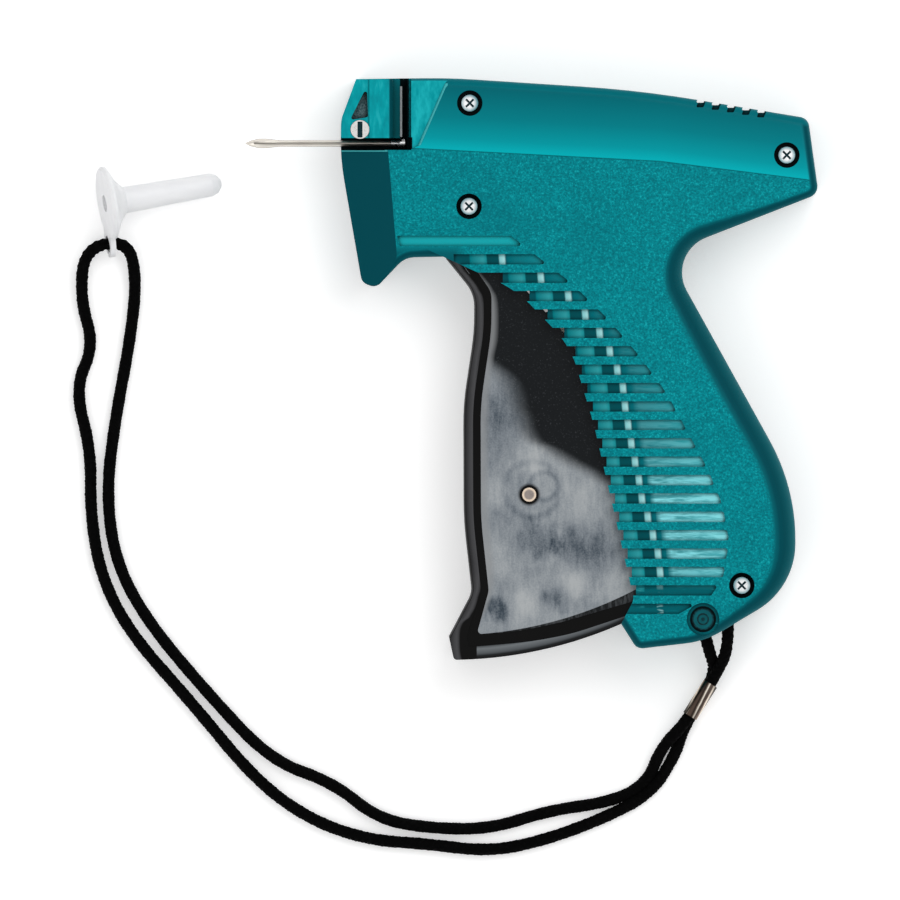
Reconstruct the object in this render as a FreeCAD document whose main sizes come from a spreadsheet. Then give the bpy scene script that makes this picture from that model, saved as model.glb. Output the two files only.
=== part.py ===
"""Garment tag attacher: a pistol-shaped tagging gun lying on its right side.

X runs from the needle (minus) to the back of the gun (plus), Y from the foot of the grip to the top
of the barrel, and Z up from the surface. The origin is under the middle of the gun, on the surface.
Lengths are in millimetres and angles in degrees.
"""
import FreeCAD, Part
import Sketcher
import math
import os

SIZES = {
    # housing
    "housing_width": 26.0,
    "side_wall": 2.6,
    "rim_wall": 2.8,
    "edge_round": 2.4,
    "head_back_x": -30.9,
    "head_wall": 1.9,
    "slot_front_x": -33.8,
    "slot_back_x": -32.0,
    "recess_front_x": -35.6,
    "recess_floor_z": 18.0,
    "groove_top_y": 59.5,
    "groove_bottom_y": 56.4,
    "head_step_x": -41.7,
    "head_step": 0.5,
    "head_round": 1.4,
    "triangle_deep": 2.2,
    "nose_facet_x": -37.0,
    "nose_facet_y": 58.0,
    "nose_facet_lean": 4.8,
    "nose_facet_slope": 30.0,
    "nose_cavity_x": -38.2,
    "panel_deep": 0.8,
    "panel_edge": 0.7,
    "grip_groove_depth": 1.1,
    "grip_groove_tall": 2.65,
    "grip_groove_pitch": 4.74,
    "grip_groove_count": 21,
    "grip_groove_top_y": 34.3,
    "grip_rib_reach": 0.8,
    "notch_count": 5,
    "notch_pitch": 3.9,
    "notch_wide": 1.9,
    "notch_deep": 2.0,
    "notch_low": 0.8,
    # housing screws
    "screw_head_radius": 2.15,
    "screw_head_tall": 1.5,
    "screw_shank_radius": 1.0,
    "screw_length": 16.0,
    "screw_play": 0.3,
    "thread_play": 0.05,
    "counterbore_radius": 3.3,
    "counterbore_deep": 3.2,
    "screw_boss_radius": 4.3,
    "nut_boss_radius": 3.0,
    "recess_cross": 0.55,
    # needle head
    "needle_y": 58.1,
    "needle_tip_x": -73.6,
    "needle_radius": 0.85,
    "needle_bore": 0.62,
    "needle_barb_radius": 1.22,
    "needle_slit": 0.5,
    "foot_radius": 1.05,
    "foot_flare_radius": 1.35,
    "foot_length": 3.6,
    "foot_flare_length": 1.4,
    "foot_play": 0.1,
    "lock_x": -44.1,
    "lock_y": 61.7,
    "lock_radius": 2.4,
    "lock_tall": 5.4,
    "lock_shank_radius": 1.3,
    "lock_proud": 0.2,
    "lock_slot_wide": 1.3,
    "lock_slot_deep": 1.5,
    "turning_play": 0.05,
    "knife_thick": 0.5,
    "knife_tall": 13.0,
    "knife_wide": 4.4,
    # feed
    "feed_y": 64.0,
    "feed_z": 8.0,
    "star_radius": 4.8,
    "star_root": 3.1,
    "star_thick": 2.8,
    "star_teeth": 10,
    "star_front_x": -28.4,
    "ratchet_radius": 3.9,
    "ratchet_root": 3.2,
    "ratchet_thick": 1.5,
    "axle_radius": 0.9,
    "axle_front_x": -33.5,
    "feed_rib_x": -22.6,
    "feed_rib_thick": 2.0,
    "pawl_y": 70.0,
    "pawl_z": 4.9,
    "pawl_hub_radius": 1.5,
    "pawl_thick": 1.2,
    "pawl_gap": 0.3,
    "pawl_pin_radius": 0.7,
    # slide
    "stroke": 40.5,
    "slide_half_tall": 5.0,
    "slide_half_wide": 7.0,
    "slide_bridge": 4.0,
    "slide_slot_half": 3.0,
    "slide_reach": 12.5,
    "slide_tail": 5.0,
    "slide_play": 0.2,
    "slide_pin_radius": 1.5,
    "rail_thick": 1.6,
    "rail_front_x": -7.0,
    "rail_back_x": 58.0,
    "rail_gap": 4.0,
    "rod_radius": 0.5,
    "rod_front_x": -30.4,
    "guide_x": -14.0,
    "guide_long": 4.0,
    "guide_half_tall": 3.2,
    "guide_seat_wall": 1.3,
    "guide_seat_tall": 4.0,
    # drive lever
    "lever_x": 29.4,
    "lever_y": 18.3,
    "lever_thick": 5.0,
    "lever_side_play": 0.3,
    "lever_pin_radius": 1.75,
    "lever_boss_radius": 3.6,
    "fork_play": 0.5,
    "fork_half_wide": 4.3,
    "fork_lip": 2.1,
    "fork_neck": 6.8,
    "cam_play": 0.25,
    "cam_wall": 2.4,
    # trigger
    "trigger_x": -20.9,
    "trigger_y": 34.5,
    "trigger_swing": 23.0,
    "trigger_width": 19.0,
    "trigger_wall": 2.0,
    "trigger_floor": 2.2,
    "trigger_foot_radius": 109.5,
    "trigger_side_play": 0.3,
    "trigger_pin_radius": 1.5,
    "trigger_boss_radius": 3.5,
    "trigger_groove_deep": 0.7,
    "trigger_round": 2.2,
    "link_x": -0.5,
    "link_y": -32.4,
    "link_pin_radius": 1.8,
    "link_ring_radius": 2.4,
    "link_ring_deep": 0.4,
    "link_pin_short": 0.1,
    # return spring
    "spring_wire": 0.4,
    "spring_coil_radius": 2.2,
    "spring_hook_radius": 3.2,
    "spring_pitch": 2.2,
    "spring_sides": 12,
    "spring_hole_x": -24.0,
    "spring_hole_y": -9.0,
    "spring_hole_radius": 1.2,
    "anchor_x": 2.0,
    "anchor_y": 45.0,
    "anchor_pin_radius": 1.5,
    "anchor_boss_radius": 3.0,
    "anchor_boss_gap": 3.4,
    # lanyard
    "post_x": 44.3,
    "post_y": -64.5,
    "post_radius": 2.8,
    "post_recess_radius": 4.2,
    "post_recess_deep": 1.2,
    "post_low": 0.6,
    "cord_radius": 1.675,
    "cord_exit_half": 5.2,
    "cord_exit_x": 47.8,
    "ferrule_wall": 0.35,
    "ferrule_length": 9.9,
    "cap_flange_radius": 9.6,
    "cap_flange_thick": 1.4,
    "cap_funnel": 4.4,
    "cap_tube_root": 3.45,
    "cap_tube_tip": 3.0,
    "cap_length": 31.0,
    "cap_bore": 2.2,
    "cap_hole_radius": 2.2,
    "cap_hole_reach": 11.6,
    "cap_ear_radius": 3.5,
}

SCREWS = ((-15.8, 68.5), (-16.0, 41.9), (65.9, 55.1), (54.3, -55.8))

# Side outline of the housing, corner by corner: x, y and the radius of the corner.
NOSE_TOP = (-45.1, 74.7, 0)
BARREL_TOP = ((-20.9, 75.0, 180.0), (28.1, 71.8, 300.0))
BARREL_BACK = ((71.4, 64.6, 2.7), (74.1, 45.1, 3.0))
GRIP_BACK = ((34.8, 29.8, 9.6), (68.3, -30.7, 53.0), (68.0, -56.4, 20.0), (44.8, -70.2, 24.0))
GRIP_FOOT = ((27.3, -72.2, 2.6), (23.2, -65.7, 0), (26.5, -59.5, 3.0))
GRIP_FRONT = ((16.2, -14.4, 100.0), (10.1, 5.9, 25.0), (-3.9, 20.4, 30.0))
NOSE_UNDER = ((-22.7, 28.9, 0), (-32.5, 28.7, 6.0), (-39.9, 20.9, 2.6), (-43.6, 22.2, 2.6))
NOSE_FRONT = ((-49.1, 53.9, 60.0), (-49.0, 64.2, 8.0))

# Places along the back of the grip where the outer edge has its own rounding: x, y, radius.
BACK_ROUND = (
    (45.0, 33.8, 4.6), (40.1, 20.2, 6.2), (61.5, -18.4, 7.0), (68.1, -45.0, 7.0), (58.4, -62.1, 4.4),
    (49.2, -67.6, 3.0),
)

# Rim of the trigger opening: the wall between the halves is open inside this outline.
TRIGGER_MOUTH = (
    (-22.9, 26.0, 0), (-22.9, 32.2, 0), (-3.0, 27.5, 6), (15.0, 9.0, 12), (21.8, -14.0, 60),
    (32.6, -58.0, 2), (33.4, -61.5, 1), (17.0, -69.6, 0), (14.0, -60.0, 0), (8.0, -14.0, 0),
    (-8.0, 14.0, 0),
)

# Shallow panel behind the feed slot, up to its slanted back edge.
SLOT_PANEL = ((-35.0, 80.0, 0), (-19.3, 80.0, 0), (-29.2, 57.4, 0), (-31.4, 56.4, 0), (-35.0, 56.4, 0))

# Back ends of the grip grooves, from the top groove down: x, y.
GROOVE_ENDS = (
    (-5.2, 34.3), (10.3, 22.2), (20.1, 12.6), (28.1, 3.1), (35.0, -6.4), (45.5, -25.8),
    (49.3, -35.0), (51.0, -44.3), (49.5, -53.6), (46.4, -58.5), (33.8, -65.5), (20.0, -72.0),
)
# Front ends of the grip grooves: just past the edge that the trigger slides under.
GROOVE_STARTS = (
    (-34.5, 34.3), (-33.8, 31.6), (-20.0, 29.6), (-20.0, 27.0), (-8.0, 21.0), (2.0, 10.0), (9.0, -4.0),
    (12.0, -20.0), (16.0, -40.0), (22.5, -60.0), (25.5, -66.0), (25.5, -72.0),
)
NOTCH_X = 42.5
NOTCH_LEAN = 2.0

# Trigger outline, from its hub down the finger side and back up the hidden edge.
TRIGGER_FRONT = (
    (-24.8, 38.4, 3.9), (-24.8, 33.6, 1.5), (-22.0, 31.4, 1.5), (-21.9, 28.3, 0),
    (-14.7, 19.4, 9.0), (-14.7, 9.5, 60.0), (-17.5, -9.0, 70.0), (-17.4, -38.9, 90.0),
    (-15.3, -57.6, 6.0), (-21.2, -68.8, 0),
)
TRIGGER_TOE_X = -18.4
TRIGGER_HEEL_X = 24.6
TRIGGER_BACK = (
    (27.9, -58.0, 2.0), (18.0, -14.8, 100.0), (12.0, 5.2, 25.0), (-2.4, 21.6, 30.0),
    (-17.0, 31.5, 3.0), (-17.0, 38.4, 3.9),
)
# Hollow of the trigger down the finger side; it stays open at the back.
HOLLOW_FRONT = (
    (-30.0, 46.0, 0), (-22.0, 30.0, 3), (-12.1, 19.6, 7.0), (-12.1, 9.7, 57.0),
    (-14.8, -9.0, 70.0), (-14.8, -38.9, 88.0), (-12.8, -57.5, 6.0),
)
HOLLOW_BACK = ((40.0, -60.0, 0), (20.0, 46.0, 0))
# Shallow groove in each side, behind the finger edge and along the foot: its outer, then inner edge.
GROOVE_FRONT = (
    (-18.0, 27.6, 0.4), (-12.2, 19.4, 7.5), (-12.2, 9.7, 57.0), (-15.0, -9.0, 70.0),
    (-14.9, -38.9, 88.0), (-12.9, -57.2, 6.0), (-16.6, -68.8, 1.0), (-16.0, -71.7, 0.5),
    (0.3, -70.3, 100.0), (10.8, -68.2, 60.0), (30.0, -61.8, 0),
)
GROOVE_BACK = (
    (30.0, -58.8, 0), (8.2, -65.2, 60.0), (-4.0, -67.8, 60.0), (-14.0, -68.4, 1.0),
    (-10.9, -57.2, 5.0), (-12.9, -38.9, 86.0), (-13.0, -9.2, 68.0), (-10.2, 9.9, 55.0),
    (-10.2, 19.8, 5.5), (-16.0, 28.2, 0.4),
)

# Drive lever from its pivot, at rest: the web to the cam plate, then the arm up to the fork.
LEVER_WEB = (
    (5.6, -5.4, 5.2), (-9.0, -6.0, 8.0), (-31.0, -24.0, 0), (-35.5, -17.5, 0),
    (-33.0, -12.4, 2.0), (-5.4, 6.0, 8.0), (3.0, 16.5, 15.0),
)
LEVER_ELBOW = ((17.6, 28.6, 8.0), (5.7, 12.0, 12.0))

# Wrist cord, from the housing through the ferrule, out to the needle cap and back: x, y, z.
CORD_ROUTE = (
    (44.7, -67.9, 10.0), (45.8, -72.6, 9.4), (47.9, -78.4, 2.1), (39.5, -91.7, 2.0),
    (37.4, -99.0, 1.7), (31.0, -109.4, 1.7), (18.5, -115.9, 1.7), (3.0, -121.6, 1.7),
    (-11.0, -124.4, 1.7), (-27.0, -122.4, 1.7), (-42.0, -121.4, 1.7), (-57.0, -116.2, 1.7),
    (-71.0, -106.0, 1.7), (-87.5, -86.0, 1.7), (-103.5, -68.0, 1.7), (-111.0, -53.0, 1.7),
    (-113.6, -37.0, 1.7), (-113.4, -21.0, 1.7), (-117.6, -5.0, 1.7), (-112.6, 6.0, 1.7),
    (-116.2, 18.0, 1.7), (-115.1, 31.2, 4.5), (-103.9, 33.2, 4.4), (-101.6, 23.0, 1.8),
    (-103.4, 7.0, 1.7), (-107.0, -12.0, 1.7), (-109.5, -31.5, 1.7), (-107.2, -49.5, 1.7),
    (-99.0, -65.0, 1.7), (-83.0, -84.0, 1.7), (-67.0, -101.0, 1.7), (-51.0, -106.6, 1.7),
    (-39.5, -116.0, 1.7), (-26.0, -118.4, 1.7), (-10.5, -118.6, 1.7), (4.5, -113.8, 1.7),
    (20.5, -111.6, 1.7), (29.8, -107.0, 1.7), (33.6, -97.4, 3.2), (39.7, -91.4, 5.5),
    (48.2, -77.9, 5.5), (50.9, -71.6, 11.2), (50.7, -65.2, 12.0),
)
FERRULE_TOP = (46.2, -81.1)
FERRULE_BOTTOM = (40.9, -89.5)
CAP_CENTRE = (-109.9, 42.6)
CAP_HEADING = 10.0
CAP_DIP = 11.5
CAP_ROLL = 26.0

doc = FreeCAD.newDocument("tag_attacher")


def make_sheet():
    """Writes the driving dimensions into the sheet, one aliased cell each."""
    sheet = doc.addObject("Spreadsheet::Sheet", "Sizes")
    for row, (alias, value) in enumerate(SIZES.items(), start=1):
        sheet.set(f"A{row}", alias)
        sheet.set(f"B{row}", str(value))
        sheet.setAlias(f"B{row}", alias)
    doc.recompute()
    return sheet


sheet = make_sheet()
parts = []


def size(alias):
    """A driving dimension as a number."""
    return float(sheet.get(alias))


MIDDLE = "Sizes.housing_width / 2"
middle_z = size("housing_width") / 2


def bind(item, **expressions):
    """Ties properties to expressions over the sheet."""
    for name, expression in expressions.items():
        item.setExpression(name, expression)


def keep(item, label):
    """Names a finished sub-part and lists it for export."""
    item.Label = label
    parts.append(item)
    return item


# ---------------------------------------------------------------- outlines

def unit(dx, dy):
    length = math.hypot(dx, dy)
    return dx / length, dy / length


def arc_through(start, via, end):
    """Sketch arc through three points of the plane."""
    return Part.Arc(*(FreeCAD.Vector(p[0], p[1], 0) for p in (start, via, end)))


def rounded(corners):
    """Closed outline of straight edges with a tangent arc at each corner (x, y, radius)."""
    count = len(corners)
    trimmed = []
    for i, (x, y, radius) in enumerate(corners):
        before = unit(corners[i - 1][0] - x, corners[i - 1][1] - y)
        after = unit(corners[(i + 1) % count][0] - x, corners[(i + 1) % count][1] - y)
        cosine = before[0] * after[0] + before[1] * after[1]
        half = math.acos(max(-1.0, min(1.0, cosine))) / 2
        if radius <= 0 or math.pi / 2 - half < 1e-4:
            trimmed.append(((x, y), None, (x, y)))
            continue
        reach = radius / math.tan(half)
        towards = unit(before[0] + after[0], before[1] + after[1])
        near = radius / math.sin(half) - radius
        start = (x + before[0] * reach, y + before[1] * reach)
        via = (x + towards[0] * near, y + towards[1] * near)
        end = (x + after[0] * reach, y + after[1] * reach)
        trimmed.append((start, via, end))
    edges = []
    for i, (start, via, end) in enumerate(trimmed):
        if via:
            edges.append(arc_through(start, via, end))
        following = trimmed[(i + 1) % count][0]
        if math.dist(end, following) > 1e-6:
            edges.append(Part.LineSegment(FreeCAD.Vector(*end, 0), FreeCAD.Vector(*following, 0)))
    return edges


def inset(corners, distance):
    """The same outline moved inwards, for a wall of even thickness; corners run clockwise."""
    count = len(corners)
    moved = []
    for i, (x, y, radius) in enumerate(corners):
        before = unit(x - corners[i - 1][0], y - corners[i - 1][1])
        after = unit(corners[(i + 1) % count][0] - x, corners[(i + 1) % count][1] - y)
        turn = before[0] * after[1] - before[1] * after[0]
        spread = 1 + before[0] * after[0] + before[1] * after[1]
        shift_x = (before[1] + after[1]) * distance / spread
        shift_y = -(before[0] + after[0]) * distance / spread
        if radius > 0:
            radius = max(radius + (distance if turn > 0 else -distance), 0.3)
        moved.append((x + shift_x, y + shift_y, radius))
    return moved


def box_outline(x0, y0, x1, y1, radius=0):
    return rounded([(x0, y0, radius), (x0, y1, radius), (x1, y1, radius), (x1, y0, radius)])


def arc_slot(start, via, end, half_wide):
    """Outline of a slot that follows the arc through three points."""
    centre = Part.Circle(*(FreeCAD.Vector(*p, 0) for p in (start, via, end))).Center

    def offset(point, by):
        away = unit(point[0] - centre.x, point[1] - centre.y)
        return point[0] + away[0] * by, point[1] + away[1] * by

    def cap_point(point, towards):
        away = unit(point[0] - centre.x, point[1] - centre.y)
        along = (-away[1], away[0])
        sign = 1 if along[0] * (towards[0] - point[0]) + along[1] * (towards[1] - point[1]) < 0 else -1
        return point[0] + sign * along[0] * half_wide, point[1] + sign * along[1] * half_wide

    outer = [offset(p, half_wide) for p in (start, via, end)]
    inner = [offset(p, -half_wide) for p in (end, via, start)]
    return [
        arc_through(*outer),
        arc_through(outer[2], cap_point(end, via), inner[0]),
        arc_through(*inner),
        arc_through(inner[2], cap_point(start, via), outer[0]),
    ]


# ---------------------------------------------------------------- features

def new_body(label):
    return keep(doc.addObject("PartDesign::Body", label), label)


def origin_plane(body, role):
    return next(f for f in body.Origin.OriginFeatures if f.Role == role)


def sketch(body, name, level, edges, role="XY_Plane"):
    """Sketch on an origin plane of the body, moved along its normal to a level."""
    item = body.newObject("Sketcher::SketchObject", name)
    item.AttachmentSupport = [(origin_plane(body, role), "")]
    item.MapMode = "FlatFace"
    item.setExpression(".AttachmentOffset.Base.z", level)
    item.addGeometry(edges, False)
    return item


def circles(body, name, level, centres, radius):
    """Sketch of equal circles, each held by its centre and radius."""
    item = sketch(body, name, level, [])
    for x, y in centres:
        index = item.addGeometry(Part.Circle(FreeCAD.Vector(x, y, 0), FreeCAD.Vector(0, 0, 1), 1.0))
        item.addConstraint(Sketcher.Constraint("DistanceX", -1, 1, index, 3, x))
        item.addConstraint(Sketcher.Constraint("DistanceY", -1, 1, index, 3, y))
        rule = item.addConstraint(Sketcher.Constraint("Radius", index, 1.0))
        item.setExpression(f"Constraints[{rule}]", radius)
    return item


def pad(body, profile, length, up=True):
    item = body.newObject("PartDesign::Pad", profile.Name + "_pad")
    item.Profile = profile
    item.Reversed = not up
    bind(item, Length=length)
    profile.Visibility = False
    doc.recompute()
    return item


def cut(body, profile, length, up=False):
    """Pocket that must take something away."""
    volume = body.Shape.Volume
    item = body.newObject("PartDesign::Pocket", profile.Name + "_cut")
    item.Profile = profile
    item.Reversed = up
    bind(item, Length=length)
    doc.recompute()
    if not body.Shape.Volume < volume - 1e-3:
        raise ValueError(f"{body.Label}: {profile.Name} cuts nothing")
    return item


def round_edges(body, name, radius, chosen):
    """Fillet on the edges of the tip shape that the test picks."""
    base = body.Tip
    names = [f"Edge{i}" for i, edge in enumerate(base.Shape.Edges, start=1) if chosen(edge)]
    item = body.newObject("PartDesign::Fillet", name)
    item.Base = (base, names)
    bind(item, Radius=radius)
    doc.recompute()
    return item


def revolve(body, name, edges, axis="V_Axis"):
    """Full turn of a profile about an axis of its own sketch."""
    profile = sketch(body, name, "0", edges)
    item = body.newObject("PartDesign::Revolution", name + "_turn")
    item.Profile = profile
    item.ReferenceAxis = (profile, [axis])
    item.Angle = 360
    doc.recompute()
    return item


def rod(label, x, y, z, radius, length, towards="z"):
    """Plain round pin; x, y, z, radius and length are expressions."""
    item = keep(doc.addObject("Part::Cylinder", label), label)
    bind(item, Radius=radius, Height=length)
    if towards == "x":
        item.Placement.Rotation = FreeCAD.Rotation(FreeCAD.Vector(0, 1, 0), 90)
    for key, expression in (("x", x), ("y", y), ("z", z)):
        item.setExpression(f"Placement.Base.{key}", expression)
    return item


def on_level(edge, z):
    box = edge.BoundBox
    return abs(box.ZMin - z) < 1e-4 and abs(box.ZMax - z) < 1e-4


# ---------------------------------------------------------------- linkage

def turned(point, about, degrees):
    """A point of the plane turned about another, anticlockwise."""
    angle = math.radians(degrees)
    dx = point[0] - about[0]
    dy = point[1] - about[1]
    return (
        about[0] + dx * math.cos(angle) - dy * math.sin(angle),
        about[1] + dx * math.sin(angle) + dy * math.cos(angle),
    )


trigger_pivot = (size("trigger_x"), size("trigger_y"))
lever_pivot = (size("lever_x"), size("lever_y"))
link_pin = (size("link_x"), size("link_y"))
anchor = (size("anchor_x"), size("anchor_y"))
needle_y = size("needle_y")
arm = needle_y - lever_pivot[1]


def half_swing_for(stroke):
    """Half swing of the lever, in degrees, that moves the slide pin by the stroke.

    The slide follows the lever at a constant rate. A rate a little over the arm's length splits
    the difference to the true tangent motion evenly between the ends and the middle.
    """
    half = math.atan(stroke / 2 / arm)
    for _ in range(20):
        half = math.atan((stroke / 2 + arm * half ** 3 / 12) / arm)
    return math.degrees(half)


lever_half_swing = half_swing_for(size("stroke"))
lever_ratio = 2 * lever_half_swing / size("trigger_swing")
slide_x = lever_pivot[0] + size("stroke") / 2


def cam_point(share):
    """Place of the link pin in the resting lever's frame at a share of the trigger's swing."""
    swing = size("trigger_swing") * share
    placed = turned(link_pin, trigger_pivot, swing)
    return turned(placed, lever_pivot, -swing * lever_ratio)


# ---------------------------------------------------------------- housing

OUTLINE = [
    NOSE_TOP, *BARREL_TOP, *BARREL_BACK, *GRIP_BACK, *GRIP_FOOT, *GRIP_FRONT, *NOSE_UNDER, *NOSE_FRONT
]


def cavity_outline():
    """Inside of the rim wall, ending behind the solid needle head and the solid tip of the nose."""
    inner = inset(OUTLINE, size("rim_wall"))
    back = size("head_back_x") + size("head_wall")
    floor = size("groove_bottom_y") - size("rim_wall")
    front = size("nose_cavity_x")
    top = inner[1][1]
    under = OUTLINE.index(NOSE_UNDER[1])
    return rounded([(back, top, 0.5), *inner[1:under], (front, inner[under][1], 2.0), (front, floor, 1.0),
                    (back, floor, 0.5)])


def front_x(y):
    """x of the edge that the trigger slides under, at a height."""
    outline = Part.Wire([edge.toShape() for edge in rounded(OUTLINE)])
    level = Part.makeLine((-25, y, 0), (80, y, 0))
    crossings = outline.distToShape(level)[1]
    return min(point[0].x for point in crossings)


def rib_gaps():
    """Gaps between the ends of the grip's ribs, where the grooves run out over the trigger."""
    edges = []
    tall = size("grip_groove_tall")
    for i in range(2, int(size("grip_groove_count")) - 1):
        top = size("grip_groove_top_y") - i * size("grip_groove_pitch")
        edge_x = max(front_x(top - 0.1), front_x(top - tall + 0.1))
        edges += box_outline(edge_x - 6, top - tall, edge_x + size("grip_rib_reach"), top)
    return edges


def groove_end(ends, y):
    """x of a groove's end at a height, along straight stretches between the given points."""
    for (x0, y0), (x1, y1) in zip(ends, ends[1:]):
        if y0 >= y >= y1:
            return x0 + (x1 - x0) * (y0 - y) / (y0 - y1)
    return ends[-1][0]


def grip_grooves():
    """Stack of level grooves whose back ends follow the edge of the grip panel."""
    edges = []
    tall = size("grip_groove_tall")
    for i in range(int(size("grip_groove_count"))):
        top = size("grip_groove_top_y") - i * size("grip_groove_pitch")
        bottom = top - tall
        corners = [
            (groove_end(GROOVE_STARTS, top), top, 0),
            (groove_end(GROOVE_ENDS, top), top, 0.5),
            (groove_end(GROOVE_ENDS, bottom), bottom, 0.5),
            (groove_end(GROOVE_STARTS, bottom), bottom, 0),
        ]
        edges += rounded(corners)
    return edges


def barrel_notches(deep):
    """Row of slanted notches across the sloping top edge at the back of the barrel."""
    (x0, y0, _), (x1, y1, _) = BARREL_TOP[1], BARREL_BACK[0]
    slope = (y1 - y0) / (x1 - x0)
    wide = size("notch_wide")
    edges = []
    for i in range(int(size("notch_count"))):
        x = NOTCH_X + i * size("notch_pitch")
        top = y0 + (x - x0) * slope
        edges += rounded([
            (x + NOTCH_LEAN, top + 3, 0), (x + NOTCH_LEAN + wide, top + 3, 0),
            (x + wide, top - deep, 0.3), (x, top - deep, 0.3),
        ])
    return edges


def edge_radius(point):
    """Rounding of the housing's outer edge at a place on the outline."""
    for x, y, radius in BACK_ROUND:
        if math.hypot(point.x - x, point.y - y) < 1.0:
            return radius
    return size("edge_round")


def blank(label, side):
    """Solid half of the housing with its outer edge rounded, more along the back of the grip."""
    profile = doc.addObject("Sketcher::SketchObject", label + "_side")
    profile.addGeometry(rounded(OUTLINE), False)
    profile.setExpression("Placement.Base.z", MIDDLE)
    block = doc.addObject("Part::Extrusion", label + "_block")
    block.Base = profile
    block.DirMode = "Normal"
    block.Solid = True
    block.Reversed = side < 0
    bind(block, LengthFwd=MIDDLE)
    doc.recompute()
    face_z = size("housing_width") if side > 0 else 0.0
    mouth = [(x, y) for x, y, _ in (GRIP_FOOT[1], GRIP_FOOT[2], *GRIP_FRONT, NOSE_UNDER[0])]
    mouth_line = Part.makePolygon([FreeCAD.Vector(x, y, face_z) for x, y in mouth])
    edges = []
    for number, edge in enumerate(block.Shape.Edges, start=1):
        centre = edge.valueAt((edge.FirstParameter + edge.LastParameter) / 2)
        if on_level(edge, face_z) and mouth_line.distToShape(Part.Vertex(centre))[0] > 1.2:
            ends = (edge.valueAt(edge.FirstParameter), edge.valueAt(edge.LastParameter))
            edges.append((number, edge_radius(ends[0]), edge_radius(ends[1])))
    item = doc.addObject("Part::Fillet", label + "_blank")
    item.Base = block
    item.Edges = edges
    doc.recompute()
    return item


def housing(label, side):
    """One half of the housing; side is +1 for the left half, above the parting plane."""
    up = side > 0
    face = "Sizes.housing_width" if up else "0"
    half_deep = "Sizes.housing_width / 2 - Sizes.side_wall"
    body = new_body(label)
    body.BaseFeature = blank(label, side)
    doc.recompute()

    def inner_pad(name, outline, reach):
        """Rib or boss that stands on the side wall; reach is its height over the wall's inside."""
        start = f"{face} - Sizes.side_wall / 2" if up else "Sizes.side_wall / 2"
        return pad(body, sketch(body, name, start, outline), f"{reach} + Sizes.side_wall / 2", not up)

    def inner_boss(name, centres, radius, reach):
        start = f"{face} - Sizes.side_wall / 2" if up else "Sizes.side_wall / 2"
        profile = circles(body, name, start, centres, radius)
        return pad(body, profile, f"{reach} + Sizes.side_wall / 2", not up)

    nose_facet(body, label, side)
    cut(body, sketch(body, label + "_cavity", MIDDLE, cavity_outline()), half_deep, up)
    cut(body, sketch(body, label + "_mouth", MIDDLE, rounded(TRIGGER_MOUTH)), half_deep, up)

    boss = "Sizes.screw_boss_radius" if up else "Sizes.nut_boss_radius"
    inner_boss(label + "_screw_boss", SCREWS, boss, half_deep)
    reach = f"{half_deep} - Sizes.lever_thick / 2 - Sizes.lever_side_play"
    inner_boss(label + "_lever_boss", [lever_pivot], "Sizes.lever_boss_radius", reach)
    reach = f"{half_deep} - Sizes.trigger_width / 2 - Sizes.trigger_side_play"
    inner_boss(label + "_trigger_boss", [trigger_pivot], "Sizes.trigger_boss_radius", reach)
    reach = f"{half_deep} - Sizes.anchor_boss_gap"
    inner_boss(label + "_anchor_boss", [anchor], "Sizes.anchor_boss_radius", reach)

    gap = size("slide_half_tall") + size("slide_play")
    thick = size("rail_thick")
    rails = []
    for low in (needle_y + gap, needle_y - gap - thick):
        rails += box_outline(size("rail_front_x"), low, size("rail_back_x"), low + thick)
    inner_pad(label + "_rails", rails, f"{half_deep} - Sizes.rail_gap")

    seat = size("guide_seat_wall")
    x0, x1 = size("guide_x") - 0.1, size("guide_x") + size("guide_long") + 0.1
    half_tall = size("guide_half_tall") + 0.1
    ring = box_outline(x0 - seat, needle_y - half_tall - seat, x1 + seat, needle_y + half_tall + seat)
    ring += box_outline(x0, needle_y - half_tall, x1, needle_y + half_tall)
    inner_pad(label + "_guide_seat", ring, "Sizes.guide_seat_tall")

    if up:
        finish_left(body, face)
    else:
        finish_right(body)

    pin_depth = f"{half_deep} + Sizes.side_wall / 2"
    bores = (
        ("lever_bore", lever_pivot, "Sizes.lever_pin_radius + 0.02"),
        ("trigger_bore", trigger_pivot, "Sizes.trigger_pin_radius + 0.02"),
        ("anchor_bore", anchor, "Sizes.anchor_pin_radius + 0.02"),
    )
    for name, centre, radius in bores:
        cut(body, circles(body, f"{label}_{name}", MIDDLE, [centre], radius), pin_depth, up)

    exit_x = size("cord_exit_x")
    exit_half = size("cord_exit_half")
    slot = box_outline(exit_x - exit_half, -74.0, exit_x + exit_half, -62.0)
    exit_deep = "Sizes.cord_radius * 3"
    if up:
        exit_deep = "Sizes.cord_radius * 1.6"
    cut(body, sketch(body, label + "_cord_exit", MIDDLE, slot), exit_deep, up)

    cut(body, sketch(body, label + "_grip", face, grip_grooves()), "Sizes.grip_groove_depth", not up)
    cut(body, sketch(body, label + "_rib_gaps", face, rib_gaps()), "Sizes.side_wall + 0.2", not up)
    cut(body, sketch(body, label + "_notches", face, barrel_notches(size("notch_deep"))),
        "Sizes.notch_wide", not up)
    cut(body, sketch(body, label + "_notch_floor", MIDDLE, barrel_notches(size("notch_low"))), MIDDLE, up)
    return body


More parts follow.
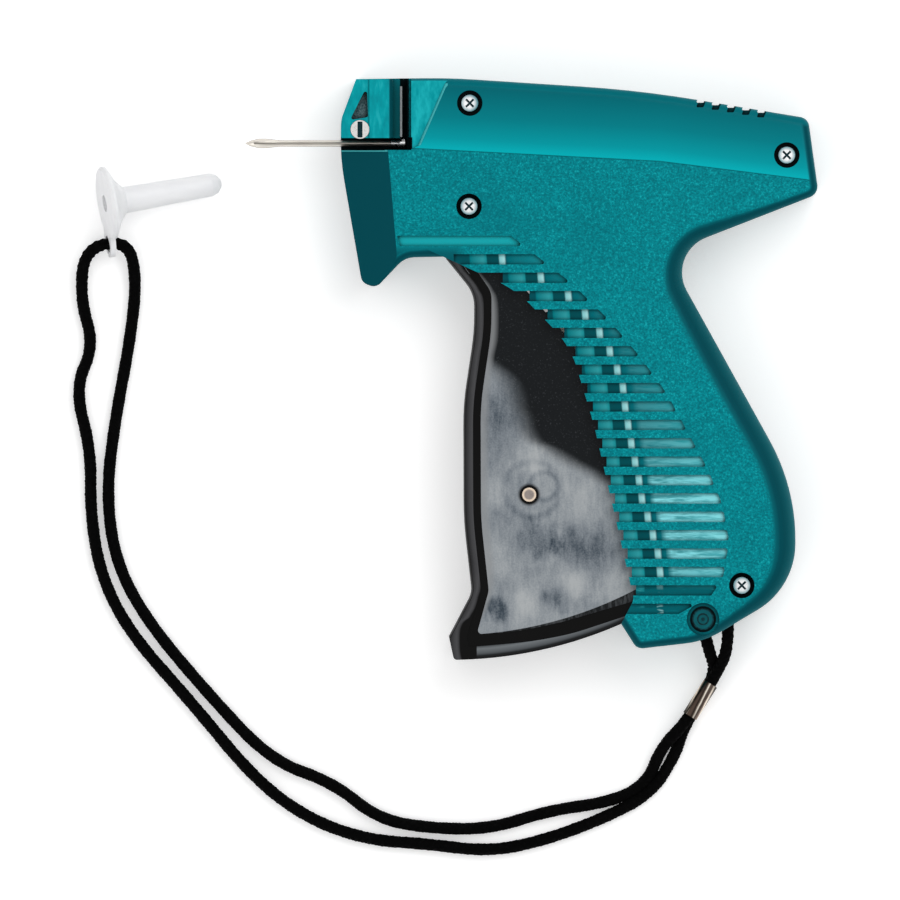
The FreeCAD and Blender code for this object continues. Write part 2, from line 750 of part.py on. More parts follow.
def nose_facet(body, label, side):
    """Slanted flat that thins the nose towards its front edge."""
    face_z = size("housing_width") if side > 0 else 0.0
    fall = math.tan(math.radians(size("nose_facet_slope"))) * 20 * side
    item = sketch(body, label + "_facet", "-Sizes.nose_facet_y",
                  rounded([(0, 0, 0), (-20, -fall, 0), (-20, side, 0), (0, side, 0)]), "XZ_Plane")
    item.AttachmentOffset = FreeCAD.Placement(
        FreeCAD.Vector(size("nose_facet_x"), face_z, -size("nose_facet_y")),
        FreeCAD.Rotation(FreeCAD.Vector(0, 1, 0), size("nose_facet_lean")))
    cut(body, item, "50", True)


def finish_left(body, face):
    """Screw heads' counterbores, the open needle head and the window of the lanyard post."""
    cut(body, circles(body, "left_counterbore", face, SCREWS, "Sizes.counterbore_radius"),
        "Sizes.counterbore_deep")
    cut(body, circles(body, "left_screw_hole", face, SCREWS, "Sizes.screw_shank_radius + Sizes.screw_play"),
        "Sizes.housing_width / 2")
    left = -60.0
    top = 80.0
    head = box_outline(left, size("groove_bottom_y"), size("slot_back_x"), top)
    cut(body, sketch(body, "left_head_gap", face, head), MIDDLE)
    ledge = box_outline(left, size("groove_bottom_y"), size("head_back_x"), top)
    cut(body, sketch(body, "left_recess", face, ledge), "Sizes.housing_width - Sizes.recess_floor_z")
    cut(body, sketch(body, "left_slot_panel", face, rounded(SLOT_PANEL)), "Sizes.panel_deep")

    def panel_edge(edge):
        centre = edge.valueAt((edge.FirstParameter + edge.LastParameter) / 2)
        slanted = edge.BoundBox.XLength > 5 and edge.BoundBox.YLength > 12
        return slanted and on_level(edge, size("housing_width")) and -29.5 < centre.x < -19

    round_edges(body, "left_panel_round", "Sizes.panel_edge", panel_edge)
    path = box_outline(
        size("slot_back_x") - 1, needle_y - 0.9, size("head_back_x") + size("head_wall") + 1, needle_y + 0.9)
    cut(body, sketch(body, "left_rod_path", MIDDLE, path), "Sizes.needle_radius + 0.3", True)
    centre = (size("post_x"), size("post_y"))
    cut(body, circles(body, "left_post_window", face, [centre], "Sizes.post_recess_radius"),
        "Sizes.post_recess_deep")
    cut(body, circles(body, "left_post_hole", face, [centre], "Sizes.post_radius + 0.03"), MIDDLE)


def finish_right(body):
    """Pilot holes, the solid needle head's channels and the bearing of the feed wheel."""
    cut(body, circles(body, "right_pilot", MIDDLE, SCREWS, "Sizes.screw_shank_radius + Sizes.thread_play"),
        "Sizes.housing_width / 2 - Sizes.side_wall")
    back = size("head_back_x") + size("head_wall") + 1.0
    channel = box_outline(size("slot_front_x"), needle_y - 1.0, size("slot_back_x"), 80.0)
    cut(body, sketch(body, "right_feed_channel", MIDDLE, channel), "Sizes.needle_radius")
    path = box_outline(size("slot_back_x") - 0.5, needle_y - 0.9, back, needle_y + 0.9)
    cut(body, sketch(body, "right_rod_path", MIDDLE, path), "Sizes.needle_radius")
    half = size("needle_radius") + 0.05
    bed = box_outline(-60.0, needle_y - half, size("recess_front_x") + 1, needle_y + half)
    cut(body, sketch(body, "right_needle_bed", MIDDLE, bed), "Sizes.needle_radius + 0.05")
    half = size("foot_flare_radius") + size("foot_play")
    front = size("slot_back_x") - 0.5 - size("foot_length") - size("foot_play")
    pit = box_outline(front, needle_y - half, size("slot_back_x") + 0.1, needle_y + half)
    cut(body, sketch(body, "right_foot_bed", MIDDLE, pit), "Sizes.foot_flare_radius + Sizes.foot_play")

    centre = (size("post_x"), size("post_y"))
    cut(body, circles(body, "right_post_seat", MIDDLE, [centre], "Sizes.post_radius + 0.03"),
        "Sizes.housing_width / 2 - Sizes.side_wall / 2")

    rib = box_outline(size("feed_rib_x"), size("feed_y") - 4.4,
                      size("feed_rib_x") + size("feed_rib_thick"), size("pawl_y") + 1.9)
    pad(body, sketch(body, "right_feed_rib", "Sizes.side_wall / 2", rib),
        "Sizes.feed_z + Sizes.axle_radius * 2 - Sizes.side_wall / 2")
    for name, y, z, radius in (
            ("axle", "feed_y", "feed_z", "Sizes.axle_radius + 0.02"),
            ("pawl", "pawl_y", "pawl_z", "Sizes.pawl_pin_radius + 0.02")):
        hole = sketch(body, f"right_{name}_bore", "Sizes.axle_front_x", [], "YZ_Plane")
        index = hole.addGeometry(
            Part.Circle(FreeCAD.Vector(size(y), size(z), 0), FreeCAD.Vector(0, 0, 1), 1.0))
        hole.addConstraint(Sketcher.Constraint("DistanceX", -1, 1, index, 3, size(y)))
        hole.addConstraint(Sketcher.Constraint("DistanceY", -1, 1, index, 3, size(z)))
        rule = hole.addConstraint(Sketcher.Constraint("Radius", index, 1.0))
        hole.setExpression(f"Constraints[{rule}]", radius)
        cut(body, hole, "Sizes.feed_rib_x + Sizes.feed_rib_thick - Sizes.axle_front_x", True)


# ---------------------------------------------------------------- needle head

def needle_head():
    """Near half of the nose, which clamps the needle and carries its lock."""
    body = new_body("needle_head")
    front = size("head_step_x")
    slot = size("slot_front_x")
    under = size("groove_top_y")
    outline = [NOSE_TOP, (slot, NOSE_TOP[1], 0), (slot, under, 0), (NOSE_FRONT[1][0], under, 0.3),
               NOSE_FRONT[1]]
    pad(body, sketch(body, "head_side", MIDDLE, rounded(outline)), MIDDLE)
    step = box_outline(-60.0, under - 1, front, 80.0)
    cut(body, sketch(body, "head_step_face", "Sizes.housing_width", step), "Sizes.head_step")
    ledge = box_outline(size("recess_front_x"), under - 1, slot + 1, 80.0)
    cut(body, sketch(body, "head_ledge", "Sizes.housing_width", ledge),
        "Sizes.housing_width - Sizes.recess_floor_z")

    def ledge_edge(edge):
        box = edge.BoundBox
        return box.XLength < 1e-4 and abs(box.XMin - size("recess_front_x")) < 1e-4 and box.YLength > 5 \
            and abs(box.ZMin - size("housing_width")) < 1e-4

    round_edges(body, "head_round", "Sizes.head_round", ledge_edge)
    web = rounded([(-42.3, 72.9, 0.5), (-42.0, 64.9, 0.5), (-46.7, 64.1, 0.5)])
    cut(body, sketch(body, "head_triangle", "Sizes.housing_width", web), "Sizes.triangle_deep")
    centre = [(size("lock_x"), size("lock_y"))]
    cut(body, circles(body, "head_lock_seat", "Sizes.housing_width", centre,
                      "Sizes.lock_radius + Sizes.turning_play"), "Sizes.lock_tall + Sizes.head_step")
    cut(body, circles(body, "head_lock_bore", MIDDLE, centre,
                      "Sizes.lock_shank_radius + Sizes.turning_play"), MIDDLE, True)
    return body


def needle_lock():
    """Slotted disc on a shank that turns in the needle head."""
    body = new_body("needle_lock")
    centre = [(size("lock_x"), size("lock_y"))]
    top = "Sizes.housing_width - Sizes.head_step + Sizes.lock_proud"
    pad(body, circles(body, "lock_disc", top, centre, "Sizes.lock_radius"),
        "Sizes.lock_tall - Sizes.turning_play + Sizes.lock_proud - Sizes.head_step", False)
    pad(body, circles(body, "lock_shank", f"{MIDDLE} + Sizes.turning_play", centre,
                      "Sizes.lock_shank_radius"), "Sizes.housing_width / 2 - Sizes.lock_tall + 1")
    half = size("lock_slot_wide") / 2
    reach = size("lock_radius") - 0.35
    x, y = centre[0]
    cut(body, sketch(body, "lock_slot", top, box_outline(x - half, y - reach, x + half, y + reach, 0.2)),
        "Sizes.lock_slot_deep")
    return body


def needle():
    """Hollow slit needle with a barbed point."""
    body = new_body("needle")
    tip = size("needle_tip_x")
    radius = size("needle_radius")
    bore = size("needle_bore")
    barb = size("needle_barb_radius")
    back = size("slot_back_x") - 0.5
    points = [(tip, 0.12), (tip + 1.4, 0.75), (tip + 3.4, barb), (tip + 5.2, barb), (tip + 8.8, radius),
              (back, radius), (back, bore), (tip + 1.9, bore), (tip + 1.2, 0.12)]
    edges = [Part.LineSegment(FreeCAD.Vector(*a, 0), FreeCAD.Vector(*b, 0))
             for a, b in zip(points, points[1:] + points[:1])]
    revolve(body, "needle_profile", edges, "H_Axis")
    half = size("needle_slit") / 2
    slit = box_outline(tip + 2.2, -half, back + 1, half)
    cut(body, sketch(body, "needle_slit", "2", slit), "2")
    body.setExpression("Placement.Base.y", "Sizes.needle_y")
    body.setExpression("Placement.Base.z", MIDDLE)
    return body


def needle_foot():
    """Flared steel foot at the root of the needle."""
    body = new_body("needle_foot")
    back = size("slot_back_x") - 0.5
    front = back - size("foot_length")
    flare = back - size("foot_flare_length")
    inner = size("needle_radius") + 0.02
    points = [(front, inner), (front, size("foot_radius")), (flare - 0.5, size("foot_radius")),
              (flare, size("foot_flare_radius")), (back, size("foot_flare_radius")), (back, inner)]
    edges = [Part.LineSegment(FreeCAD.Vector(*a, 0), FreeCAD.Vector(*b, 0))
             for a, b in zip(points, points[1:] + points[:1])]
    revolve(body, "foot_profile", edges, "H_Axis")
    body.setExpression("Placement.Base.y", "Sizes.needle_y")
    body.setExpression("Placement.Base.z", MIDDLE)
    return body


def knife():
    """Blade on the front wall of the feed slot that frees each fastener."""
    body = new_body("knife")
    x0 = size("slot_front_x") + 0.05
    y0 = size("groove_top_y") + 0.3
    outline = rounded([(x0, y0, 0), (x0, y0 + size("knife_tall"), 0),
                       (x0 + size("knife_thick"), y0 + size("knife_tall"), 0),
                       (x0 + size("knife_thick"), y0, 0)])
    pad(body, sketch(body, "knife_side", f"{MIDDLE} + 0.1", outline), "Sizes.knife_wide")
    return body


# ---------------------------------------------------------------- feed

def toothed(centre, root, tip, teeth, lean):
    """Outline of a wheel with pointed teeth; lean shifts each point round, for a ratchet."""
    corners = []
    for i in range(teeth):
        start = 2 * math.pi * i / teeth
        point = start + 2 * math.pi / teeth * lean
        for angle, radius in ((start, root), (point, tip)):
            corners.append((centre[0] + radius * math.cos(angle), centre[1] + radius * math.sin(angle), 0))
    return rounded(corners)


def feed_wheel():
    """Star wheel that steps the fasteners down, with its ratchet behind it."""
    body = new_body("feed_wheel")
    teeth = int(size("star_teeth"))
    star = toothed((0, 0), size("star_root"), size("star_radius"), teeth, 0.5)
    pad(body, sketch(body, "feed_star", "Sizes.star_front_x", star, "YZ_Plane"), "Sizes.star_thick")
    ratchet = toothed((0, 0), size("ratchet_root"), size("ratchet_radius"), teeth, 0.12)
    level = "Sizes.star_front_x + Sizes.star_thick"
    pad(body, sketch(body, "feed_ratchet", level, ratchet, "YZ_Plane"), "Sizes.ratchet_thick")
    bore = sketch(body, "feed_bore", "Sizes.star_front_x", [], "YZ_Plane")
    index = bore.addGeometry(Part.Circle(FreeCAD.Vector(0, 0, 0), FreeCAD.Vector(0, 0, 1), 1.0))
    bore.addConstraint(Sketcher.Constraint("Coincident", index, 3, -1, 1))
    rule = bore.addConstraint(Sketcher.Constraint("Radius", index, 1.0))
    bore.setExpression(f"Constraints[{rule}]", "Sizes.axle_radius + Sizes.turning_play")
    cut(body, bore, "Sizes.star_thick + Sizes.ratchet_thick", True)
    body.setExpression("Placement.Base.y", "Sizes.feed_y")
    body.setExpression("Placement.Base.z", "Sizes.feed_z")
    return body


def feed_pawl():
    """Rocking finger that steps the ratchet, resting just clear of its teeth."""
    body = new_body("feed_pawl")
    to_wheel = (size("feed_y") - size("pawl_y"), size("feed_z") - size("pawl_z"))
    along = unit(*to_wheel)
    side = (-along[1], along[0])
    distance = math.hypot(*to_wheel)
    nose = distance - size("ratchet_radius") - size("pawl_gap")
    hub = size("pawl_hub_radius")

    def place(forward, sideways, radius):
        return (along[0] * forward + side[0] * sideways, along[1] * forward + side[1] * sideways, radius)

    outline = rounded([
        place(-hub, -hub, hub * 0.9), place(-hub, hub, hub * 0.9), place(nose * 0.6, hub, 0.4),
        place(nose, 0.35, 0.1), place(nose, -0.35, 0.1), place(nose * 0.6, -hub * 0.7, 0.4),
    ])
    level = "Sizes.star_front_x + Sizes.star_thick + (Sizes.ratchet_thick - Sizes.pawl_thick) / 2"
    pad(body, sketch(body, "pawl_side", level, outline, "YZ_Plane"), "Sizes.pawl_thick")
    bore = sketch(body, "pawl_bore", level, [], "YZ_Plane")
    index = bore.addGeometry(Part.Circle(FreeCAD.Vector(0, 0, 0), FreeCAD.Vector(0, 0, 1), 1.0))
    bore.addConstraint(Sketcher.Constraint("Coincident", index, 3, -1, 1))
    rule = bore.addConstraint(Sketcher.Constraint("Radius", index, 1.0))
    bore.setExpression(f"Constraints[{rule}]", "Sizes.pawl_pin_radius + Sizes.turning_play")
    cut(body, bore, "Sizes.pawl_thick", True)
    body.setExpression("Placement.Base.y", "Sizes.pawl_y")
    body.setExpression("Placement.Base.z", "Sizes.pawl_z")
    return body


# ---------------------------------------------------------------- slide

def slide_block():
    """Block that the lever drives: a bridge that holds the rod and two cheeks for the pin."""
    body = new_body("slide_block")
    tall = size("slide_half_tall")
    front = slide_x - size("slide_reach")
    outline = box_outline(front, needle_y - tall, slide_x + size("slide_tail"), needle_y + tall, 0.8)
    low = f"{MIDDLE} - Sizes.slide_half_wide"
    pad(body, sketch(body, "slide_side", low, outline), "Sizes.slide_half_wide * 2")
    gap = box_outline(front + size("slide_bridge"), needle_y - tall - 1, slide_x + 9, needle_y + tall + 1)
    cut(body, sketch(body, "slide_gap", f"{MIDDLE} - Sizes.slide_slot_half", gap),
        "Sizes.slide_slot_half * 2", True)
    cut(body, circles(body, "slide_pin_hole", low, [(slide_x, needle_y)], "Sizes.slide_pin_radius"),
        "Sizes.slide_half_wide * 2", True)
    hole = sketch(body, "slide_rod_hole", str(front), [], "YZ_Plane")
    index = hole.addGeometry(
        Part.Circle(FreeCAD.Vector(needle_y, middle_z, 0), FreeCAD.Vector(0, 0, 1), 1.0))
    hole.addConstraint(Sketcher.Constraint("DistanceX", -1, 1, index, 3, needle_y))
    hole.addConstraint(Sketcher.Constraint("DistanceY", -1, 1, index, 3, middle_z))
    rule = hole.addConstraint(Sketcher.Constraint("Radius", index, 1.0))
    hole.setExpression(f"Constraints[{rule}]", "Sizes.rod_radius")
    cut(body, hole, "Sizes.slide_bridge", True)
    return body


def rod_guide():
    """Bush between the halves that keeps the push rod in line with the needle."""
    body = new_body("rod_guide")
    x0 = size("guide_x")
    tall = size("guide_half_tall")
    wide = "Sizes.housing_width / 2 - Sizes.side_wall - 0.1"
    outline = box_outline(x0, needle_y - tall, x0 + size("guide_long"), needle_y + tall)
    pad(body, sketch(body, "guide_side", f"{MIDDLE} - ({wide})", outline), f"({wide}) * 2")
    hole = sketch(body, "guide_hole", "Sizes.guide_x", [], "YZ_Plane")
    index = hole.addGeometry(
        Part.Circle(FreeCAD.Vector(needle_y, middle_z, 0), FreeCAD.Vector(0, 0, 1), 1.0))
    hole.addConstraint(Sketcher.Constraint("DistanceX", -1, 1, index, 3, needle_y))
    hole.addConstraint(Sketcher.Constraint("DistanceY", -1, 1, index, 3, middle_z))
    rule = hole.addConstraint(Sketcher.Constraint("Radius", index, 1.0))
    hole.setExpression(f"Constraints[{rule}]", "Sizes.rod_radius + Sizes.turning_play")
    cut(body, hole, "Sizes.guide_long", True)
    return body


# ---------------------------------------------------------------- lever and trigger

def drive_lever():
    """Bell crank with a fork for the slide's pin and a curved cam slot for the trigger's pin."""
    body = new_body("drive_lever")
    lean = math.radians(lever_half_swing)
    along = (math.sin(lean), math.cos(lean))
    across = (along[1], -along[0])

    def fork(reach, sideways, radius):
        return (along[0] * reach + across[0] * sideways, along[1] * reach + across[1] * sideways, radius)

    half = size("fork_half_wide")
    reach = arm / math.cos(lean) + size("fork_lip")
    neck = arm - size("fork_neck")
    corners = [fork(reach, half, 1.2), *LEVER_ELBOW, *LEVER_WEB, fork(neck, -half, 6.0),
               fork(reach, -half, 1.2)]
    placed = [(x + lever_pivot[0], y + lever_pivot[1], r) for x, y, r in corners]
    low = f"{MIDDLE} - Sizes.lever_thick / 2"
    pad(body, sketch(body, "lever_side", low, rounded(placed)), "Sizes.lever_thick")
    cam = [cam_point(share) for share in (0, 0.5, 1)]
    cam_half = size("link_pin_radius") + size("cam_play")
    plate = arc_slot(*cam, cam_half + size("cam_wall"))
    pad(body, sketch(body, "lever_cam_plate", low, plate), "Sizes.lever_thick")
    slot = size("slide_pin_radius") + size("fork_play")
    bottom = arm - slot - 0.6
    gap = [fork(reach + 2, slot, 0), fork(bottom, slot, slot * 0.9), fork(bottom, -slot, slot * 0.9),
           fork(reach + 2, -slot, 0)]
    gap = [(x + lever_pivot[0], y + lever_pivot[1], r) for x, y, r in gap]
    cut(body, sketch(body, "lever_fork", low, rounded(gap)), "Sizes.lever_thick", True)
    cut(body, sketch(body, "lever_cam_slot", low, arc_slot(*cam, cam_half)), "Sizes.lever_thick", True)
    cut(body, circles(body, "lever_bore", low, [lever_pivot], "Sizes.lever_pin_radius + Sizes.turning_play"),
        "Sizes.lever_thick", True)
    cut(body, circles(body, "lever_spring_hole", low, [spring_hole()], "Sizes.spring_hole_radius"),
        "Sizes.lever_thick", True)
    return body


def spring_hole():
    return lever_pivot[0] + size("spring_hole_x"), lever_pivot[1] + size("spring_hole_y")


def foot_arc(radius, start_x, end_x):
    """Corners of an arc about the trigger's pivot, from one x to another along its foot."""
    start = -math.acos((start_x - trigger_pivot[0]) / radius)
    end = -math.acos((end_x - trigger_pivot[0]) / radius)
    steps = 3
    step = (end - start) / steps
    beyond = 1.5 / radius
    places = [(start - beyond, radius / math.cos(beyond), 1.0)]
    places += [(start + step * (i + 0.5), radius / math.cos(step / 2), radius) for i in range(steps)]
    places += [(end + beyond, radius / math.cos(beyond), 1.0)]
    return [(trigger_pivot[0] + reach * math.cos(angle), trigger_pivot[1] + reach * math.sin(angle), corner)
            for angle, reach, corner in places]


def trigger():
    """Hollow trigger, open at the back, with ears for its pivot pin and the link pin."""
    body = new_body("trigger")
    low = f"{MIDDLE} - Sizes.trigger_width / 2"
    high = f"{MIDDLE} + Sizes.trigger_width / 2"
    foot = size("trigger_foot_radius")
    outline = [*TRIGGER_FRONT, *foot_arc(foot, TRIGGER_TOE_X, TRIGGER_HEEL_X), *TRIGGER_BACK]
    pad(body, sketch(body, "trigger_side", low, rounded(outline)), "Sizes.trigger_width")

    def finger_edge(edge):
        centre = edge.valueAt((edge.FirstParameter + edge.LastParameter) / 2)
        flat = on_level(edge, centre.z)
        return flat and centre.x < -10 and -66 < centre.y < 26

    round_edges(body, "trigger_round", "Sizes.trigger_round", finger_edge)
    floor = foot_arc(foot - size("trigger_floor"), TRIGGER_TOE_X + 3, TRIGGER_HEEL_X + 12)
    hollow = rounded([*HOLLOW_FRONT, *floor, *HOLLOW_BACK])
    cut(body, sketch(body, "trigger_hollow", f"{low} + Sizes.trigger_wall", hollow),
        "Sizes.trigger_width - Sizes.trigger_wall * 2", True)
    groove = rounded([*GROOVE_FRONT, *GROOVE_BACK])
    cut(body, sketch(body, "trigger_groove_left", high, groove), "Sizes.trigger_groove_deep")
    cut(body, sketch(body, "trigger_groove_right", low, groove), "Sizes.trigger_groove_deep", True)
    cut(body, circles(body, "trigger_bore", low, [trigger_pivot],
                      "Sizes.trigger_pin_radius + Sizes.turning_play"), "Sizes.trigger_width", True)
    cut(body, circles(body, "trigger_link_hole", low, [link_pin], "Sizes.link_pin_radius"),
        "Sizes.trigger_width", True)
    for name, level, up in (("left", high, False), ("right", low, True)):
        ring = circles(body, f"trigger_ring_{name}", level, [link_pin], "Sizes.link_ring_radius")
        cut(body, ring, "Sizes.link_ring_deep", up)
    return body


# ---------------------------------------------------------------- spring

def return_spring():
    """Tension spring from its anchor pin down to the lever, with a loop at each end.

    Its coils are straight stretches of six-sided wire, as they repeat many times inside the housing.
    """
    start = FreeCAD.Vector(*anchor, middle_z)
    end = FreeCAD.Vector(*spring_hole(), middle_z)
    along = (end - start).normalize()
    start += along * (size("spring_coil_radius") - size("spring_wire") - size("anchor_pin_radius") - 0.02)
    end += along * size("spring_hole_radius") / 2
    wire = size("spring_wire")
    coil = size("spring_coil_radius")
    hook = size("spring_hook_radius")
    first = math.sqrt(coil ** 2 - (coil - 2 * wire / 3) ** 2)
    last = (end - start).Length - hook - math.sqrt(hook ** 2 - coil ** 2)
    frame = FreeCAD.Rotation(FreeCAD.Vector(0, 0, 1), along)

    sides = int(size("spring_sides"))
    steps = round((last - first) / size("spring_pitch") * sides)
    turn = 2 * math.pi / sides
    nodes = [
        FreeCAD.Vector(coil * math.cos(turn * i), coil * math.sin(turn * i), (last - first) * i / steps)
        for i in range(steps + 1)
    ]
    line = doc.addObject("Part::Polygon", "spring_line")
    line.Nodes = nodes
    section = doc.addObject("Part::RegularPolygon", "spring_section")
    section.Polygon = 6
    bind(section, Circumradius="Sizes.spring_wire")
    section.Placement = FreeCAD.Placement(
        nodes[0], FreeCAD.Rotation(FreeCAD.Vector(0, 0, 1), nodes[1] - nodes[0]))
    coils = doc.addObject("Part::Sweep", "spring_coils")
    coils.Sections = [section]
    doc.recompute()
    coils.Spine = (line, [])
    coils.Solid = True
    coils.Transition = "Right corner"
    coils.Placement = FreeCAD.Placement(start + along * first, frame)
    loops = []
    for name, centre, radius, normal in (
            ("spring_pin_loop", start, "Sizes.spring_coil_radius", FreeCAD.Vector(0, 0, 1)),
            ("spring_lever_loop", end - along * hook, "Sizes.spring_hook_radius",
             along.cross(FreeCAD.Vector(0, 0, 1)))):
        loop = doc.addObject("Part::Torus", name)
        bind(loop, Radius1=radius, Radius2="Sizes.spring_wire")
        loop.Placement = FreeCAD.Placement(centre, FreeCAD.Rotation(FreeCAD.Vector(0, 0, 1), normal))
        loops.append(loop)
    spring = doc.addObject("Part::MultiFuse", "return_spring")
    spring.Shapes = [coils, *loops]
    return keep(spring, "return_spring")


# ---------------------------------------------------------------- fasteners

def housing_screws():
    """Four cross-head screws, one under each counterbore of the left half."""
    seat = "Sizes.housing_width - Sizes.counterbore_deep"
    screws = []
    for number, (x, y) in enumerate(SCREWS, start=1):
        head = doc.addObject("Part::Cylinder", f"screw_head_{number}")
        bind(head, Radius="Sizes.screw_head_radius", Height="Sizes.screw_head_tall")
        head.Placement.Base = FreeCAD.Vector(x, y, 0)
        head.setExpression("Placement.Base.z", seat)
        shank = doc.addObject("Part::Cylinder", f"screw_shank_{number}")
        bind(shank, Radius="Sizes.screw_shank_radius", Height="Sizes.screw_length")
        shank.Placement.Base = FreeCAD.Vector(x, y, 0)
        shank.setExpression("Placement.Base.z", f"{seat} - Sizes.screw_length")
        whole = doc.addObject("Part::MultiFuse", f"screw_blank_{number}")
        whole.Shapes = [head, shank]
        slots = []
        for turn in (45, 135):
            slot = doc.addObject("Part::Box", f"screw_slot_{number}_{turn}")
            bind(slot, Length="Sizes.screw_head_radius * 1.3", Width="Sizes.recess_cross",
                 Height="Sizes.screw_head_tall")
            doc.recompute()
            offset = FreeCAD.Vector(-slot.Length.Value / 2, -slot.Width.Value / 2, 0)
            spin = FreeCAD.Rotation(FreeCAD.Vector(0, 0, 1), turn)
            place = FreeCAD.Vector(x, y, size("housing_width") - size("counterbore_deep")
                                   + size("screw_head_tall") * 0.4)
            slot.Placement = FreeCAD.Placement(place + spin.multVec(offset), spin)
            slots.append(slot)
        cross = doc.addObject("Part::MultiFuse", f"screw_cross_{number}")
        cross.Shapes = slots
        screw = doc.addObject("Part::Cut", f"screw_{number}")
        screw.Base = whole
        screw.Tool = cross
        screws.append(screw)
    group = doc.addObject("Part::Compound", "housing_screws")
    group.Links = screws
    return keep(group, "housing_screws")


def lanyard_post():
    """Post across the foot of the grip that the wrist cord is tied to."""
    body = new_body("lanyard_post")
    centre = [(size("post_x"), size("post_y"))]
    pad(body, circles(body, "post_round", "Sizes.side_wall / 2", centre, "Sizes.post_radius"),
        "Sizes.housing_width - Sizes.side_wall / 2 - Sizes.post_low")
    for name, outer, inner in (("outer", 0.78, 0.62), ("inner", 0.4, 0.2)):
        ring = circles(body, f"post_ring_{name}", "Sizes.housing_width - Sizes.post_low", centre,
                       f"Sizes.post_radius * {outer}")
        index = ring.addGeometry(
            Part.Circle(FreeCAD.Vector(*centre[0], 0), FreeCAD.Vector(0, 0, 1), 1.0))
        ring.addConstraint(Sketcher.Constraint("Coincident", index, 3, 0, 3))
        rule = ring.addConstraint(Sketcher.Constraint("Radius", index, 1.0))
        ring.setExpression(f"Constraints[{rule}]", f"Sizes.post_radius * {inner}")
        cut(body, ring, "0.4")
    return body


# ---------------------------------------------------------------- cord

def cord_path(points):
    """Straight runs joined by tangent arcs, each as large as its two runs allow."""
    edges = []
    radii = []
    last = points[0]
    for before, corner, after in zip(points, points[1:], points[2:]):
        back = (before - corner)
        on = (after - corner)
        reach = 0.45 * min(back.Length, on.Length)
        back = back.normalize()
        on = on.normalize()
        half = back.getAngle(on) / 2
        radius = reach * math.tan(half)
        start = corner + back * reach
        end = corner + on * reach
        middle = corner + (back + on).normalize() * (radius / math.sin(half) - radius)
        edges.append(Part.LineSegment(last, start).toShape())
        edges.append(Part.Arc(start, middle, end).toShape())
        radii.append(radius)
        last = end
    edges.append(Part.LineSegment(last, points[-1]).toShape())
    return Part.Wire(edges), radii


def wrist_cord():
    """Braided cord as a plain tube along its route."""
    path, radii = cord_path([FreeCAD.Vector(*point) for point in CORD_ROUTE])
    ahead = FreeCAD.Vector(*CORD_ROUTE[1]) - FreeCAD.Vector(*CORD_ROUTE[0])
    section = Part.Wire(Part.makeCircle(size("cord_radius"), FreeCAD.Vector(*CORD_ROUTE[0]), ahead))
    tube = path.makePipeShell([section], True, True)
    item = doc.addObject("Part::Feature", "wrist_cord")
    item.Shape = tube
    expected = math.pi * size("cord_radius") ** 2 * path.Length
    print("cord length", round(path.Length, 1), "volume share", round(tube.Volume / expected, 4))
    print("cord radii", [round(r, 1) for r in radii])
    return keep(item, "wrist_cord")


def cord_ferrule():
    """Crimped sleeve with two lobes, one over the other, for the cord's two strands."""
    body = new_body("cord_ferrule")
    radius = size("cord_radius") + 0.01
    outer = radius + size("ferrule_wall")
    rise = 3.45

    def lobes(r):
        return [
            arc_through((-r, 0), (0, -r), (r, 0)),
            Part.LineSegment(FreeCAD.Vector(r, 0, 0), FreeCAD.Vector(r, rise, 0)),
            arc_through((r, rise), (0, rise + r), (-r, rise)),
            Part.LineSegment(FreeCAD.Vector(-r, rise, 0), FreeCAD.Vector(-r, 0, 0)),
        ]

    pad(body, sketch(body, "ferrule_sleeve", "0", lobes(outer) + lobes(radius)), "Sizes.ferrule_length")
    heading = FreeCAD.Vector(FERRULE_BOTTOM[0] - FERRULE_TOP[0], FERRULE_BOTTOM[1] - FERRULE_TOP[1], 0)
    heading.normalize()
    across = FreeCAD.Vector(0, 0, 1).cross(heading)
    spin = FreeCAD.Rotation(across, FreeCAD.Vector(0, 0, 1), heading, "ZXY")
    body.Placement = FreeCAD.Placement(FreeCAD.Vector(*FERRULE_TOP, outer), spin)
    return body


